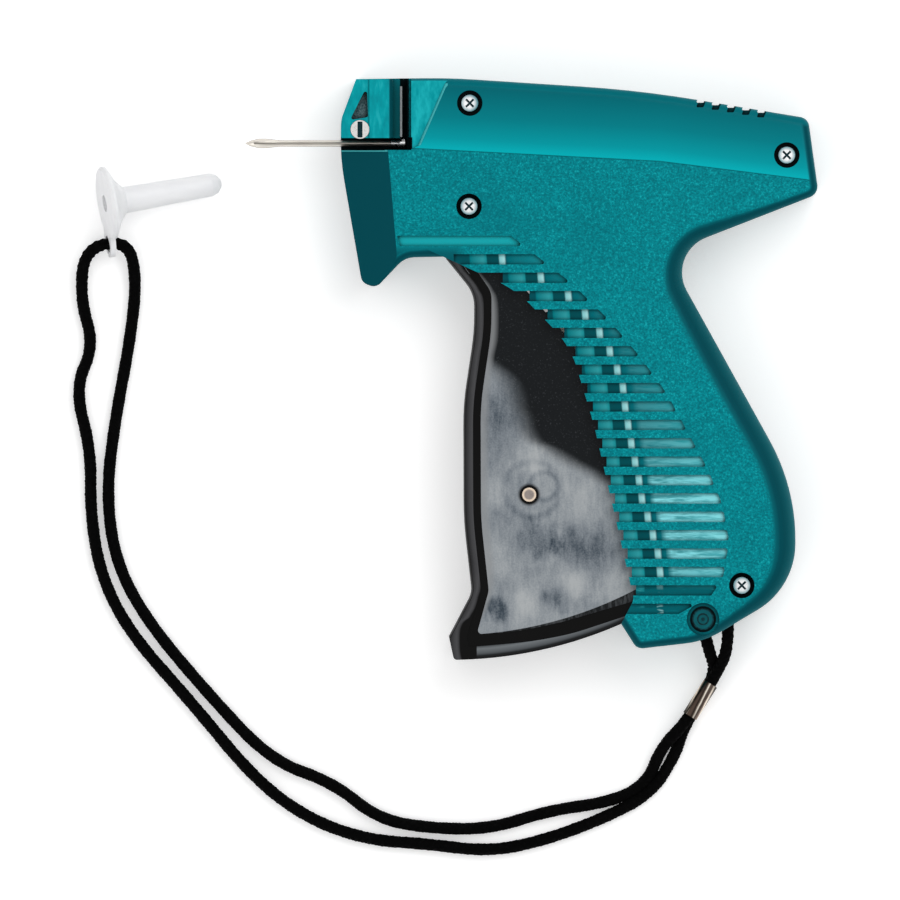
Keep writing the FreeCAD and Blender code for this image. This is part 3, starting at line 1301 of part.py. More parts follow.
def needle_cap():
    """Soft cap for the needle: a tapered tube on a round flange, with an eye for the cord."""
    body = new_body("needle_cap")
    root = size("cap_tube_root")
    tip = size("cap_tube_tip")
    long = size("cap_length")
    thick = size("cap_flange_thick")
    flange = size("cap_flange_radius")
    bore = size("cap_bore")
    funnel = size("cap_funnel")
    points = [(0, bore), (0, flange - 0.6), (thick / 2, flange), (thick, flange - 0.2),
              (funnel * 0.75, root + 2.2), (funnel + 0.8, root), (long - tip * 0.9, tip),
              (long - tip * 0.35, tip * 0.8), (long, tip * 0.35), (long, 0), (long - 2.5, 0), (long - 2.5, bore)]
    edges = [Part.LineSegment(FreeCAD.Vector(*a, 0), FreeCAD.Vector(*b, 0))
             for a, b in zip(points, points[1:] + points[:1])]
    revolve(body, "cap_profile", edges, "H_Axis")
    reach = size("cap_hole_reach")
    ear = size("cap_ear_radius")
    outline = rounded([(-ear, -flange + 4, 0), (ear, -flange + 4, 0), (ear, -reach - ear, ear - 0.01),
                       (-ear, -reach - ear, ear - 0.01)])
    pad(body, sketch(body, "cap_ear", "0", outline, "YZ_Plane"), "Sizes.cap_flange_thick")
    eye = sketch(body, "cap_eye", "0", [], "YZ_Plane")
    index = eye.addGeometry(Part.Circle(FreeCAD.Vector(0, -reach, 0), FreeCAD.Vector(0, 0, 1), 1.0))
    eye.addConstraint(Sketcher.Constraint("PointOnObject", index, 3, -2))
    eye.addConstraint(Sketcher.Constraint("DistanceY", index, 3, -1, 1, reach))
    rule = eye.addConstraint(Sketcher.Constraint("Radius", index, 1.0))
    eye.setExpression(f"Constraints[{rule}]", "Sizes.cap_hole_radius")
    cut(body, eye, "Sizes.cap_flange_thick", True)
    dip = math.radians(CAP_DIP)
    heading = math.radians(CAP_HEADING)
    axis = FreeCAD.Vector(math.cos(heading) * math.cos(dip), math.sin(heading) * math.cos(dip),
                          -math.sin(dip))
    level = FreeCAD.Vector(-math.sin(heading), math.cos(heading), 0)
    upright = axis.cross(level)
    roll = math.radians(CAP_ROLL)
    towards_top = level * math.cos(roll) + upright * math.sin(roll)
    spin = FreeCAD.Rotation(axis, FreeCAD.Vector(0, 0, 1), towards_top, "XZY")
    low = flange * math.cos(dip) + 0.02
    body.Placement = FreeCAD.Placement(FreeCAD.Vector(*CAP_CENTRE, low), spin)
    return body


# ---------------------------------------------------------------- assembly

housing("left_housing", 1)
housing("right_housing", -1)
needle_head()
needle_lock()
needle()
needle_foot()
knife()
feed_wheel()
rod("feed_axle", "Sizes.axle_front_x + 0.1", "Sizes.feed_y", "Sizes.feed_z", "Sizes.axle_radius",
    "Sizes.feed_rib_x + Sizes.feed_rib_thick - Sizes.axle_front_x - 0.2", "x")
feed_pawl()
rod("pawl_pin", "Sizes.axle_front_x + 0.1", "Sizes.pawl_y", "Sizes.pawl_z", "Sizes.pawl_pin_radius",
    "Sizes.feed_rib_x + Sizes.feed_rib_thick - Sizes.axle_front_x - 0.2", "x")
slide_block()
rod("slide_pin", str(slide_x), "Sizes.needle_y", f"{MIDDLE} - Sizes.slide_half_wide + 0.1",
    "Sizes.slide_pin_radius", "Sizes.slide_half_wide * 2 - 0.2")
rod("push_rod", "Sizes.rod_front_x", "Sizes.needle_y", MIDDLE, "Sizes.rod_radius",
    f"{slide_x} - Sizes.slide_reach + Sizes.slide_bridge - Sizes.rod_front_x", "x")
rod_guide()
drive_lever()
PIN_SPAN = "Sizes.housing_width - Sizes.side_wall"
rod("lever_pivot_pin", "Sizes.lever_x", "Sizes.lever_y", "Sizes.side_wall / 2 + 0.1",
    "Sizes.lever_pin_radius", f"{PIN_SPAN} - 0.2")
trigger()
rod("trigger_pivot_pin", "Sizes.trigger_x", "Sizes.trigger_y", "Sizes.side_wall / 2 + 0.1",
    "Sizes.trigger_pin_radius", f"{PIN_SPAN} - 0.2")
rod("link_pin", "Sizes.link_x", "Sizes.link_y", f"{MIDDLE} - Sizes.trigger_width / 2 + Sizes.link_pin_short",
    "Sizes.link_pin_radius", "Sizes.trigger_width - Sizes.link_pin_short * 2")
rod("spring_anchor_pin", "Sizes.anchor_x", "Sizes.anchor_y", "Sizes.side_wall / 2 + 0.1",
    "Sizes.anchor_pin_radius", f"{PIN_SPAN} - 0.2")
return_spring()
housing_screws()
lanyard_post()
wrist_cord()
cord_ferrule()
needle_cap()

doc.recompute()
for item in doc.Objects:
    if "Invalid" in item.State or "Error" in item.State:
        raise ValueError(f"{item.Label} did not build: {item.State}")
for item in parts:
    if item.Shape.isNull() or not item.Shape.isValid() or not item.Shape.Solids:
        raise ValueError(f"{item.Label} has no sound solid")

os.makedirs("parts", exist_ok=True)
for item in parts:
    item.Shape.exportStep(f"parts/{item.Label}.step")
print("lever half swing", round(lever_half_swing, 3), "ratio", round(lever_ratio, 4), "slide x", round(slide_x, 3))
print(len(parts), "sub-parts")
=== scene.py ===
"""Looks of the garment tag attacher: materials, wrist cord, floor, lights and camera."""
import bpy
import math
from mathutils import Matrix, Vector


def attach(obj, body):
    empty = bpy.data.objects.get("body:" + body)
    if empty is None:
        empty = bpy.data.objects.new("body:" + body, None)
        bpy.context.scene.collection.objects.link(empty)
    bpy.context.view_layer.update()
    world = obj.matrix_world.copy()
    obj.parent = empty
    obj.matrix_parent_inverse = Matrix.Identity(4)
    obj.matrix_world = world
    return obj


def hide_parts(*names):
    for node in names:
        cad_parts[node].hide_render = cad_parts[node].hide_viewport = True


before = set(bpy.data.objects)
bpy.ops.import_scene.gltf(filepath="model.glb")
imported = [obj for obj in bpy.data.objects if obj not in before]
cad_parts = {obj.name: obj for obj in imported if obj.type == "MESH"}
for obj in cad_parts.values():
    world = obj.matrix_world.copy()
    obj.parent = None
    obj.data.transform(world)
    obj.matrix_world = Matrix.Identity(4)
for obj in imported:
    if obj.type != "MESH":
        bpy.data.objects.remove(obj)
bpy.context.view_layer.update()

MM = 0.001
PICTURE_PIXELS = 900
PIXEL = 0.2577e-3                       # metres on the object for each pixel of the picture
VIEW_CENTRE = (-0.0209, -0.0209)

# Places on the gun, in millimetres. X runs from the needle to the back of the gun, Y from the foot
# of the grip to the top of the barrel, and Z up from the side that the gun lies on.
SCREW_CENTRES = ((-16.0, 68.5), (-16.0, 41.9), (65.9, 55.1), (54.4, -55.8))
POST_CENTRE = (44.3, -64.5)
LINK_PIN = (-0.5, -32.4)
TRIGGER_PIVOT = (-20.9, 34.5)
MIDDLE = 13.0                           # the plane where the two housing halves meet
FOOT_RADIUS = 109.5                     # the trigger's foot is round about its pivot
TRIGGER_SIDE, TRIGGER_GROOVE = 22.5, 21.8       # heights of the trigger's side and of its groove
GROOVE_LEVELS = (24.9, 1.1)             # heights of the grip grooves' floors, left and right
GROOVE_TOP, GROOVE_PITCH = 32.98, 4.74  # middle of the first grip groove, and their spacing
GROOVE_LIMIT = 35.2                     # the grip grooves lie below this Y
BAND_FRONT = -31.0                      # the barrel's smooth band starts here
SLOT_X, SLOT_HALF, SLOT_FOOT, SLOT_TOP = -32.9, 1.4, 56.0, 25.0
BED_Y, BED_HALF, BED_END, BED_TOP = 58.0, 1.7, -30.6, 25.5
PANEL_FOOT, PANEL_X, PANEL_HALF, PANEL_LEVEL = 56.2, -26.2, 4.7, 25.2
EDGE_SHINE_TOP, EDGE_SHINE_FRONT, EDGE_SHINE_LEVEL = 73.6, -30.0, 25.6            # the painted highlight along the panel's slanting edge
FOOT_SHINE_END, FOOT_SHINE_LEVEL = -37.0, 19.0  # the painted highlight line at the panel's foot, up to X and from Z
NOTCH_FOOT, NOTCH_FRONT, NOTCH_TOP = 60.0, 40.0, 25.8           # the notches on the barrel
POST_RING, POST_RING_TOP = 3.1, 25.9    # painted shade ring around the lanyard post
THROAT_END, THROAT_TOP = -16.5, 31.2    # the shaded throat over the trigger
BORE_RADIUS, BORE_TOP = 3.35, 25.85
RECESS_LEVEL, LEDGE_TOP, LEDGE_FRONT = 23.8, 21.5, -36.2        # on the needle head
STRIP_TOP, HEEL_TOP = 3.4, 6.4          # widths measured up from the trigger's round foot
TOE_TOP, TOE_FRONT = -62.2, -14.0       # the trigger's plain toe


# ---------------------------------------------------------------- material helpers

class Nodes:
    """Adds and links the shader nodes of one material."""

    def __init__(self, name):
        self.material = bpy.data.materials.new(name)
        self.material.use_nodes = True
        self.tree = self.material.node_tree
        self.tree.nodes.clear()
        self.output = self.add("ShaderNodeOutputMaterial")
        self.shader = self.add("ShaderNodeBsdfPrincipled")
        self.link(self.shader, "BSDF", self.output, "Surface")
        self.coords = self.add("ShaderNodeTexCoord")
        self.place = self.add("ShaderNodeSeparateXYZ")
        self.link(self.coords, "Object", self.place, "Vector")

    def add(self, kind, **settings):
        node = self.tree.nodes.new(kind)
        for key, value in settings.items():
            setattr(node, key, value)
        return node

    def link(self, source, output, target, socket):
        self.tree.links.new(source.outputs[output], target.inputs[socket])

    def feed(self, value, socket):
        """Gives a socket a number, a colour, or the output of a node."""
        if isinstance(value, (int, float)):
            socket.default_value = value
        elif isinstance(value, tuple) and isinstance(value[0], (int, float)):
            socket.default_value = value + (1,) if len(value) == 3 else value
        else:
            self.tree.links.new(value[0].outputs[value[1]], socket)

    def set(self, **values):
        """Feeds sockets of the shader, named with _ for each space."""
        for key, value in values.items():
            self.feed(value, self.shader.inputs[key.replace("_", " ")])

    def scatter(self, radius):
        """Sets how far light spreads under the surface, in metres."""
        self.shader.inputs["Subsurface Radius"].default_value = (radius, radius, radius)

    def noise(self, scale, detail=2.0, roughness=0.5, stretch=None, distortion=0.0):
        node = self.add("ShaderNodeTexNoise")
        node.inputs["Scale"].default_value = scale
        node.inputs["Detail"].default_value = detail
        node.inputs["Roughness"].default_value = roughness
        node.inputs["Distortion"].default_value = distortion
        if stretch:
            mapping = self.add("ShaderNodeMapping")
            mapping.inputs["Scale"].default_value = stretch
            self.link(self.coords, "Object", mapping, "Vector")
            self.link(mapping, "Vector", node, "Vector")
        else:
            self.link(self.coords, "Object", node, "Vector")
        return node, 0

    def math(self, operation, a, b=0.0, c=0.0):
        node = self.add("ShaderNodeMath", operation=operation)
        for socket, value in zip(node.inputs, (a, b, c)):
            self.feed(value, socket)
        return node, 0

    def fold(self, operation, values):
        """Joins values one by one with an operation."""
        total = values[0]
        for value in values[1:]:
            total = self.math(operation, total, value)
        return total

    def product(self, *values):
        return self.fold("MULTIPLY", values)

    def total(self, *values):
        return self.fold("ADD", values)

    def most(self, *values):
        return self.fold("MAXIMUM", values)

    def least(self, *values):
        return self.fold("MINIMUM", values)

    def minus(self, value, less):
        return self.math("SUBTRACT", value, less)

    def others(self, mask):
        """The places that a mask leaves out."""
        return self.minus(1.0, mask)

    def above(self, value, limit):
        """1 where a value is over a limit, else 0."""
        return self.math("GREATER_THAN", value, limit)

    def below(self, value, limit):
        """1 where a value is under a limit, else 0."""
        return self.math("LESS_THAN", value, limit)

    def near(self, value, centre, reach):
        """1 where a value is within reach of centre, else 0."""
        return self.math("COMPARE", value, centre, reach)

    def spread(self, source, low, high, start=0.0, end=1.0, smooth=False):
        """Maps a value from start..end to low..high and holds it there."""
        node = self.add("ShaderNodeMapRange")
        if smooth:
            node.interpolation_type = "SMOOTHSTEP"
        self.feed(source, node.inputs["Value"])
        ends = (("From Min", start), ("From Max", end), ("To Min", low), ("To Max", high))
        for key, value in ends:
            node.inputs[key].default_value = value
        return node, 0

    def away(self, centre):
        """Distance in metres, seen from the side of the gun, to a place in millimetres."""
        x = self.minus((self.place, "X"), centre[0] * MM)
        y = self.minus((self.place, "Y"), centre[1] * MM)
        return self.math("SQRT", self.total(self.product(x, x), self.product(y, y)))

    def off(self, centre, radius):
        """Distance in metres to a circle about a place, both in millimetres."""
        return self.math("ABSOLUTE", self.minus(self.away(centre), radius * MM))

    def curve(self, source, pairs):
        """A smooth curve through pairs of (input, output), both in millimetres."""
        xs, ys = [pair[0] for pair in pairs], [pair[1] for pair in pairs]
        x0, x1, y0, y1 = min(xs), max(xs), min(ys), max(ys)
        share = self.spread(source, 0.0, 1.0, x0 * MM, x1 * MM)
        node = self.add("ShaderNodeFloatCurve")
        points = node.mapping.curves[0].points
        ordered = sorted(((x - x0) / (x1 - x0), (y - y0) / (y1 - y0)) for x, y in pairs)
        points[0].location = ordered[0]
        points[1].location = ordered[-1]
        for place in ordered[1:-1]:
            points.new(*place)
        node.mapping.update()
        self.feed(share, node.inputs["Value"])
        return self.spread((node, 0), y0 * MM, y1 * MM)

    def ramp(self, source, stops, start=0.0, end=1.0):
        """Colours along a value; the stops are (value, colour)."""
        node = self.add("ShaderNodeValToRGB")
        elements = node.color_ramp.elements
        while len(elements) < len(stops):
            elements.new(0.5)
        for element, (value, colour) in zip(elements, stops):
            element.position = (value - start) / (end - start)
            element.color = colour + (1,)
        self.feed(self.spread(source, 0.0, 1.0, start, end), node.inputs[0])
        return node, 0

    def mix(self, factor, low, high):
        """Goes from one colour to another as the factor goes from 0 to 1."""
        node = self.add("ShaderNodeMix", data_type="RGBA")
        for socket, value in ((0, factor), (6, low), (7, high)):
            self.feed(value, node.inputs[socket])
        return node, 2

    def bump(self, height, distance, strength=1.0, normal=None):
        node = self.add("ShaderNodeBump")
        node.inputs["Strength"].default_value = strength
        node.inputs["Distance"].default_value = distance
        self.feed(height, node.inputs["Height"])
        if normal:
            self.feed(normal, node.inputs["Normal"])
        return node, 0

    def normal(self, axis):
        """One part of the surface's normal."""
        geometry = self.add("ShaderNodeNewGeometry")
        parts = self.add("ShaderNodeSeparateXYZ")
        self.link(geometry, "Normal", parts, "Vector")
        return parts, axis

    def facing(self):
        """How much a surface faces the side of the gun: 1 flat on it, 0 at right angles."""
        return self.math("ABSOLUTE", self.normal("Z"))

    def corners(self, tone, reach, depth, shade_tone=(0.0, 0.0, 0.0)):
        """Paints shade into a tone down in the recesses, where ambient occlusion finds close
        surfaces.
        """
        node = self.add("ShaderNodeAmbientOcclusion", samples=6)
        node.inputs["Distance"].default_value = reach
        share = self.spread((node, "AO"), depth, 0.0, 0.25, 0.85)
        return self.mix(share, tone, shade_tone)


# ---------------------------------------------------------------- teal housing

# Where the painted reflection's bright line crosses each groove's polished floor: (Y, X).
GROOVE_SHINE = (
    (-52.6, 32.7), (-47.9, 32.2), (-43.0, 30.9), (-38.4, 29.6), (-33.8, 28.1), (-28.9, 27.3),
    (-24.2, 26.3), (-19.3, 25.3), (-14.7, 24.5), (-9.8, 23.7), (-5.2, 23.2), (-0.3, 21.7),
    (4.4, 19.8), (9.0, 17.3), (13.9, 13.5), (18.8, 9.0), (23.6, 1.8), (28.0, -8.0),
)
# How strong the painted pale sheen on the floors is towards the back of the grip: (Y, thousandths).
GROOVE_PAINTED_SHEEN = (
    (-72.0, 0.0), (-58.0, 0.0), (-54.5, 300.0), (-50.0, 850.0), (-44.0, 1000.0), (-33.0, 1000.0),
    (-27.0, 700.0), (-20.0, 350.0), (-8.0, 150.0), (10.0, 60.0), (36.0, 0.0),
)
# Painted reflection tones across each groove's floor, by distance from its bright line.
GROOVE_PAINTED_REFLECTIONS = (
    (-0.0080, (0.0, 0.085, 0.105)), (-0.0076, (0.0, 0.200, 0.230)),
    (-0.0045, (0.03, 0.340, 0.370)), (-0.0036, (0.01, 0.290, 0.320)),
    (-0.0033, (0.0, 0.075, 0.090)), (-0.0004, (0.0, 0.080, 0.096)),
    (-0.0001, (0.24, 0.620, 0.640)), (0.0011, (0.40, 0.760, 0.770)),
    (0.0015, (0.0, 0.110, 0.135)), (0.0022, (0.0, 0.150, 0.180)),
    (0.0070, (0.0, 0.205, 0.240)), (0.0160, (0.02, 0.340, 0.385)),
)
GROOVE_LEAN = -0.08                     # the bright line's slant within one groove
FIRST_GROOVE = 31.0                     # the first groove, above this Y, has no bright line
SMEAR = (420.0, 3.0, 0.6)               # noise of the smears on smooth teal


def above_line(m):
    """Height over the line at which the housing's upper band begins; it bends on the barrel."""
    x, y = (m.place, "X"), (m.place, "Y")
    bend = m.math("MAXIMUM", m.minus(x, 0.0332), 0.0)
    line = m.minus(m.minus(0.0553, m.product(x, 0.0525)), m.product(bend, 0.0725))
    return m.minus(y, line)


def face_tone(m, grain, cloud):
    """The textured faces: fine light and dark grains over slow clouds."""
    face = m.ramp(grain, ((0.34, (0.0, 0.145, 0.175)), (0.50, (0.0, 0.215, 0.250)),
                          (0.60, (0.0, 0.275, 0.315)), (0.70, (0.01, 0.420, 0.455))), 0.3, 0.72)
    return m.mix(m.spread(cloud, 0.0, 0.35, 0.5, 0.72), face, (0.0, 0.130, 0.160))


def painted_rounding_shade(m, up, over):
    """Rounded and sloping edges: painted shade by how far they turn from the side, darkest half-way
    over, with a painted highlight along the barrel's top.
    """
    tone = m.ramp(up, ((0.0, (0.0, 0.165, 0.195)), (0.35, (0.0, 0.115, 0.140)),
                       (0.80, (0.0, 0.062, 0.080)), (0.90, (0.0, 0.066, 0.086)),
                       (0.97, (0.0, 0.120, 0.145))))
    # A painted highlight on roundings that face the barrel's top.
    crown = m.product(m.above(over, 0.0060), m.spread(m.normal("Y"), 0.0, 0.85, 0.10, 0.30))
    return m.mix(crown, tone, (0.0, 0.150, 0.180))


def slot_panel(m, tone, flat):
    """The sunk panel behind the feed slot, smooth with a painted sheen, a painted highlight along
    its slanting edge and a painted highlight line below.
    """
    x, y, z = (m.place, "X"), (m.place, "Y"), (m.place, "Z")
    smear = m.noise(*SMEAR, (1.6, 0.6, 1.0))
    # Smooth teal painted lighter: a painted sheen of the flat glossy panel, with smears.
    panel_painted_sheen = m.ramp(smear, ((0.36, (0.0, 0.290, 0.330)),
                                (0.66, (0.01, 0.430, 0.470))), 0.3, 0.7)
    within = m.product(m.above(y, PANEL_FOOT * MM), m.near(x, PANEL_X * MM, PANEL_HALF * MM))
    panel = m.product(m.near(z, PANEL_LEVEL * MM, 0.0001), within, flat)
    tone = m.mix(panel, tone, panel_painted_sheen)
    # A painted highlight along the panel's slanting edge.
    painted_shine_mark = m.product(within, m.near(z, EDGE_SHINE_LEVEL * MM, 0.00038), m.below(y, EDGE_SHINE_TOP * MM),
                     m.above(x, EDGE_SHINE_FRONT * MM), m.others(flat))
    tone = m.mix(painted_shine_mark, tone, (0.060, 0.420, 0.440))
    # A painted highlight line along the panel's foot, where the nose's edge catches light.
    foot_shine = m.product(m.near(y, PANEL_FOOT * MM, 0.00022), m.below(x, FOOT_SHINE_END * MM),
                       m.above(z, FOOT_SHINE_LEVEL * MM))
    return m.mix(foot_shine, tone, (0.050, 0.360, 0.380))


def groove_floor(m):
    """The polished floors of the grip grooves, each with a painted reflection: its bright square
    and pale tail.
    """
    x, y = (m.place, "X"), (m.place, "Y")
    first_edge = (GROOVE_TOP - GROOVE_PITCH / 2) * MM
    row = m.total(m.math("SNAP", m.minus(y, first_edge), GROOVE_PITCH * MM), GROOVE_TOP * MM)
    lean = m.product(m.minus(y, row), GROOVE_LEAN)
    along = m.minus(x, m.total(m.curve(row, GROOVE_SHINE), lean))
    streaks = m.noise(700.0, 3.0, 0.6, (0.25, 1.6, 1.0))
    tone = m.ramp(along, GROOVE_PAINTED_REFLECTIONS, -0.010, 0.018)
    # Painted pale sheen towards the back ends of the lower grooves; the first groove gets an even
    # lighter painted tone.
    tail = m.product(m.curve(y, GROOVE_PAINTED_SHEEN), m.spread(along, 0.0, 1.0, 0.0026, 0.0040),
                     m.spread(streaks, 0.25, 1.0, 0.36, 0.58))
    tone = m.mix(tail, tone, (0.26, 0.790, 0.840))
    tone = m.mix(m.above(y, FIRST_GROOVE * MM), tone, (0.01, 0.410, 0.450))
    # Darker towards the foot of the grip.
    low_darkening = m.product(m.spread(y, 1.0, 0.0, -0.0570, -0.0545),
                     m.spread(streaks, 1.0, 0.35, 0.55, 0.66))
    return m.mix(low_darkening, tone, (0.0, 0.120, 0.145))


def painted_recess_shade(m, flat):
    """Painted shade in the counterbores, feed slot, needle bed, the notches on the barrel and the
    post's ring.
    """
    x, y, z = (m.place, "X"), (m.place, "Y"), (m.place, "Z")
    bores = m.least(*(m.away(centre) for centre in SCREW_CENTRES))
    bore = m.product(m.below(bores, BORE_RADIUS * MM), m.below(z, BORE_TOP * MM))
    slot = m.product(m.near(x, SLOT_X * MM, SLOT_HALF * MM), m.above(y, SLOT_FOOT * MM),
                     m.below(z, SLOT_TOP * MM))
    bed = m.product(m.near(y, BED_Y * MM, BED_HALF * MM), m.below(x, BED_END * MM),
                    m.below(z, BED_TOP * MM))
    notch = m.product(m.above(y, NOTCH_FOOT * MM), m.above(x, NOTCH_FRONT * MM),
                      m.below(z, NOTCH_TOP * MM), m.above(z, 0.0002), flat)
    ring = m.product(m.near(m.away(POST_CENTRE), POST_RING * MM, 0.00028),
                     m.below(z, POST_RING_TOP * MM))
    return m.most(bore, slot, bed, m.product(notch, 0.8), ring)


def teal_plastic():
    """Moulded teal: spark-textured faces, smooth edges and upper band, polished grooves, with
    painted shade on edges, band and recesses and painted reflections in the grooves.
    """
    m = Nodes("teal_plastic")
    x, y, z = (m.place, "X"), (m.place, "Y"), (m.place, "Z")
    up = m.facing()
    flat = m.spread(up, 0.0, 1.0, 0.955, 0.995)
    grain = m.noise(1900.0, 3.0, 0.66)
    cloud = m.noise(42.0, 3.0)

    # The upper band is smooth; painted shading makes it dark at its top and bright down to its
    # lower line, standing in for its curve.
    over = above_line(m)
    behind = m.spread(x, 0.0, 1.0, BAND_FRONT * MM, -0.0308)
    band = m.product(m.spread(over, 0.0, 1.0, -0.00003, 0.00003), behind)
    band_painted_shading = m.ramp(over, ((0.0, (0.0, 0.420, 0.470)), (0.0030, (0.0, 0.300, 0.345)),
                              (0.0085, (0.0, 0.200, 0.235)),
                              (0.0175, (0.0, 0.118, 0.145))), 0.0, 0.018)
    side_tone = m.mix(band, face_tone(m, grain, cloud), band_painted_shading)
    # Faces turned from the side get the painted rounding shade.
    tone = m.mix(flat, painted_rounding_shade(m, up, over), side_tone)
    # A painted shade line along the band's lower line, where a small step would throw shade.
    edge = m.product(m.near(over, -0.00005, 0.00016), behind, flat)
    tone = m.mix(m.product(edge, 0.45), tone, (0.0, 0.050, 0.060))

    # The throat over the trigger lies in shade.
    throat = m.product(m.spread(y, 1.0, 0.0, THROAT_TOP * MM, 0.0317),
                       m.spread(x, 1.0, 0.0, -0.0195, THROAT_END * MM), flat)
    throat_tone = m.ramp(y, ((0.0265, (0.0, 0.075, 0.095)), (0.0300, (0.0, 0.115, 0.140)),
                             (0.0316, (0.0, 0.190, 0.220))), 0.024, 0.032)
    tone = slot_panel(m, m.mix(throat, tone, throat_tone), flat)

    level = m.most(*(m.near(z, height * MM, 0.00015) for height in GROOVE_LEVELS))
    groove = m.product(level, m.below(y, GROOVE_LIMIT * MM), flat)
    tone = m.mix(groove, tone, groove_floor(m))
    # Painted near-black shade in the deep places.
    tone = m.mix(painted_recess_shade(m, flat), tone, (0.0, 0.007, 0.009))
    # Painted shade in the corners and recesses, from ambient occlusion.
    m.set(Base_Color=m.corners(tone, 0.0011, 0.75))

    soft = m.total(m.spread(band, 0.50, 0.34), m.spread(cloud, -0.05, 0.05, 0.3, 0.7))
    m.set(Roughness=m.product(m.others(m.product(groove, 0.75)), soft), Specular_IOR_Level=0.04)

    textured = m.product(flat, m.others(band), m.others(groove))
    fine = m.bump(m.product(grain, m.spread(textured, 0.05, 1.0)), 0.00016, 0.8)
    m.set(Normal=m.bump(m.noise(260.0, 2.0), 0.00003, 0.35, fine))
    return m.material


def head_plastic():
    """The needle head: satin teal, grey dust in the triangular recess, painted shade on its sloping
    edges and on the low ledge.
    """
    m = Nodes("head_teal")
    x, z = (m.place, "X"), (m.place, "Z")
    up = m.facing()
    flat = m.spread(up, 0.0, 1.0, 0.93, 0.99)
    smear = m.noise(*SMEAR, (1.6, 0.5, 1.0))
    face = m.ramp(smear, ((0.34, (0.0, 0.260, 0.300)), (0.55, (0.0, 0.325, 0.365)),
                          (0.68, (0.01, 0.390, 0.430))), 0.3, 0.7)
    # Painted shade on sloping edges, by how far they turn from the side.
    painted_edge_shade = m.ramp(up, ((0.0, (0.0, 0.150, 0.180)), (0.45, (0.0, 0.060, 0.075)),
                            (0.88, (0.0, 0.055, 0.070)), (0.97, (0.0, 0.180, 0.210))))
    tone = m.mix(flat, painted_edge_shade, face)
    dust = m.noise(1900.0, 3.0, 0.7)
    grey = m.ramp(dust, ((0.38, (0.020, 0.060, 0.070)), (0.62, (0.120, 0.185, 0.195))), 0.3, 0.7)
    tone = m.mix(m.product(m.near(z, RECESS_LEVEL * MM, 0.0002), flat), tone, grey)
    # Painted shade on the low ledge.
    ledge = m.product(m.below(z, LEDGE_TOP * MM), m.above(x, LEDGE_FRONT * MM))
    tone = m.mix(ledge, tone, (0.0, 0.150, 0.175))
    # Painted shade in the corners and recesses, from ambient occlusion.
    m.set(Base_Color=m.corners(tone, 0.0018, 0.85))
    m.set(Roughness=m.spread(smear, 0.36, 0.50, 0.3, 0.7), Specular_IOR_Level=0.05)
    m.set(Normal=m.bump(dust, 0.00006, 0.6))
    return m.material


def post_plastic():
    """The lanyard post: dark teal with turned rings in its end; the rings and its edge carry
    painted near-black shade.
    """
    m = Nodes("post_teal")
    # Painted near-black shade at the middle, in the rings and round the edge.
    tone = m.ramp(m.away(POST_CENTRE), (
        (0.0, (0.0, 0.006, 0.008)), (0.0004, (0.0, 0.010, 0.012)), (0.0006, (0.0, 0.120, 0.140)),
        (0.0011, (0.0, 0.135, 0.160)), (0.0012, (0.0, 0.008, 0.010)), (0.0015, (0.0, 0.008, 0.010)),
        (0.0017, (0.0, 0.140, 0.165)), (0.0021, (0.0, 0.155, 0.180)), (0.0023, (0.0, 0.090, 0.110)),
        (0.0026, (0.0, 0.010, 0.012))), 0.0, 0.003)
    grain = m.noise(1500.0, 2.0)
    m.set(Base_Color=m.mix(m.spread(grain, 0.0, 0.4, 0.4, 0.7), tone, (0.0, 0.110, 0.130)))
    m.set(Roughness=0.38, Specular_IOR_Level=0.1, Normal=m.bump(grain, 0.00004, 0.5))
    return m.material


# ---------------------------------------------------------------- trigger

# The trigger's front edge, and the line above which its side's painted reflection turns dark: (Y,
# X).
FINGER_EDGE = (
    (-75.0, -20.6), (-68.8, -21.2), (-64.0, -18.6), (-59.0, -16.5), (-53.0, -15.6), (-46.0, -16.2),
    (-38.4, -16.9), (-28.0, -17.2), (-17.7, -17.2), (-7.0, -16.8), (3.0, -15.9), (9.0, -14.9),
    (13.4, -14.8), (17.0, -15.0), (20.3, -16.2), (23.5, -18.4), (26.5, -20.7), (30.0, -22.0),
)
SHADE_EDGE = (
    (-45.0, 45.0), (-33.0, 27.0), (-27.3, 17.5), (-24.0, 11.5), (-20.4, 5.5), (-17.7, 0.5),
    (-10.8, -3.0), (-2.6, -6.2), (1.5, -10.5), (6.0, -16.0), (30.0, -18.0),
)
# Lighter and darker clouds in the painted reflection on the trigger's side: place, reach (mm) and
# strength.
PAINTED_HAZE_CLOUDS = (
    (-0.6, -22.8, 7.0, 0.34), (14.5, -33.5, 9.0, 0.22), (-12.0, -47.0, 10.0, 0.22),
    (11.5, -55.0, 6.5, 0.30), (-9.5, -12.0, 9.5, -0.16), (13.5, -47.0, 10.0, -0.32),
    (1.5, -44.5, 8.0, -0.34), (6.2, -59.0, 5.2, -0.32), (-8.8, -61.0, 5.0, -0.40),
    (22.0, -56.0, 8.0, 0.30), (-10.8, -32.0, 7.5, 0.22), (-1.8, -60.5, 5.0, 0.22),
    (-4.0, -53.0, 6.0, 0.14), (7.0, -40.5, 5.0, -0.14),
)
# Darker rings in the painted reflection around the link pin, for a shallow ring in the side:
# centre, radius, width (mm) and depth.
PAINTED_HAZE_RINGS = (((0.4, -31.0), 7.2, 1.6, 0.16), ((3.2, -30.2), 3.6, 1.3, 0.20))
RIM_WIDTH = 0.0034                      # the plain rim in front of the painted reflection on the trigger's side
# Painted reflection across the strip along the foot.
STRIP_PAINTED_SHEEN = (
    (0.0, (0.004, 0.004, 0.004)), (0.0008, (0.010, 0.011, 0.012)), (0.0014, (0.080, 0.088, 0.096)),
    (0.0026, (0.150, 0.165, 0.175)), (0.0034, (0.030, 0.034, 0.038)),
)
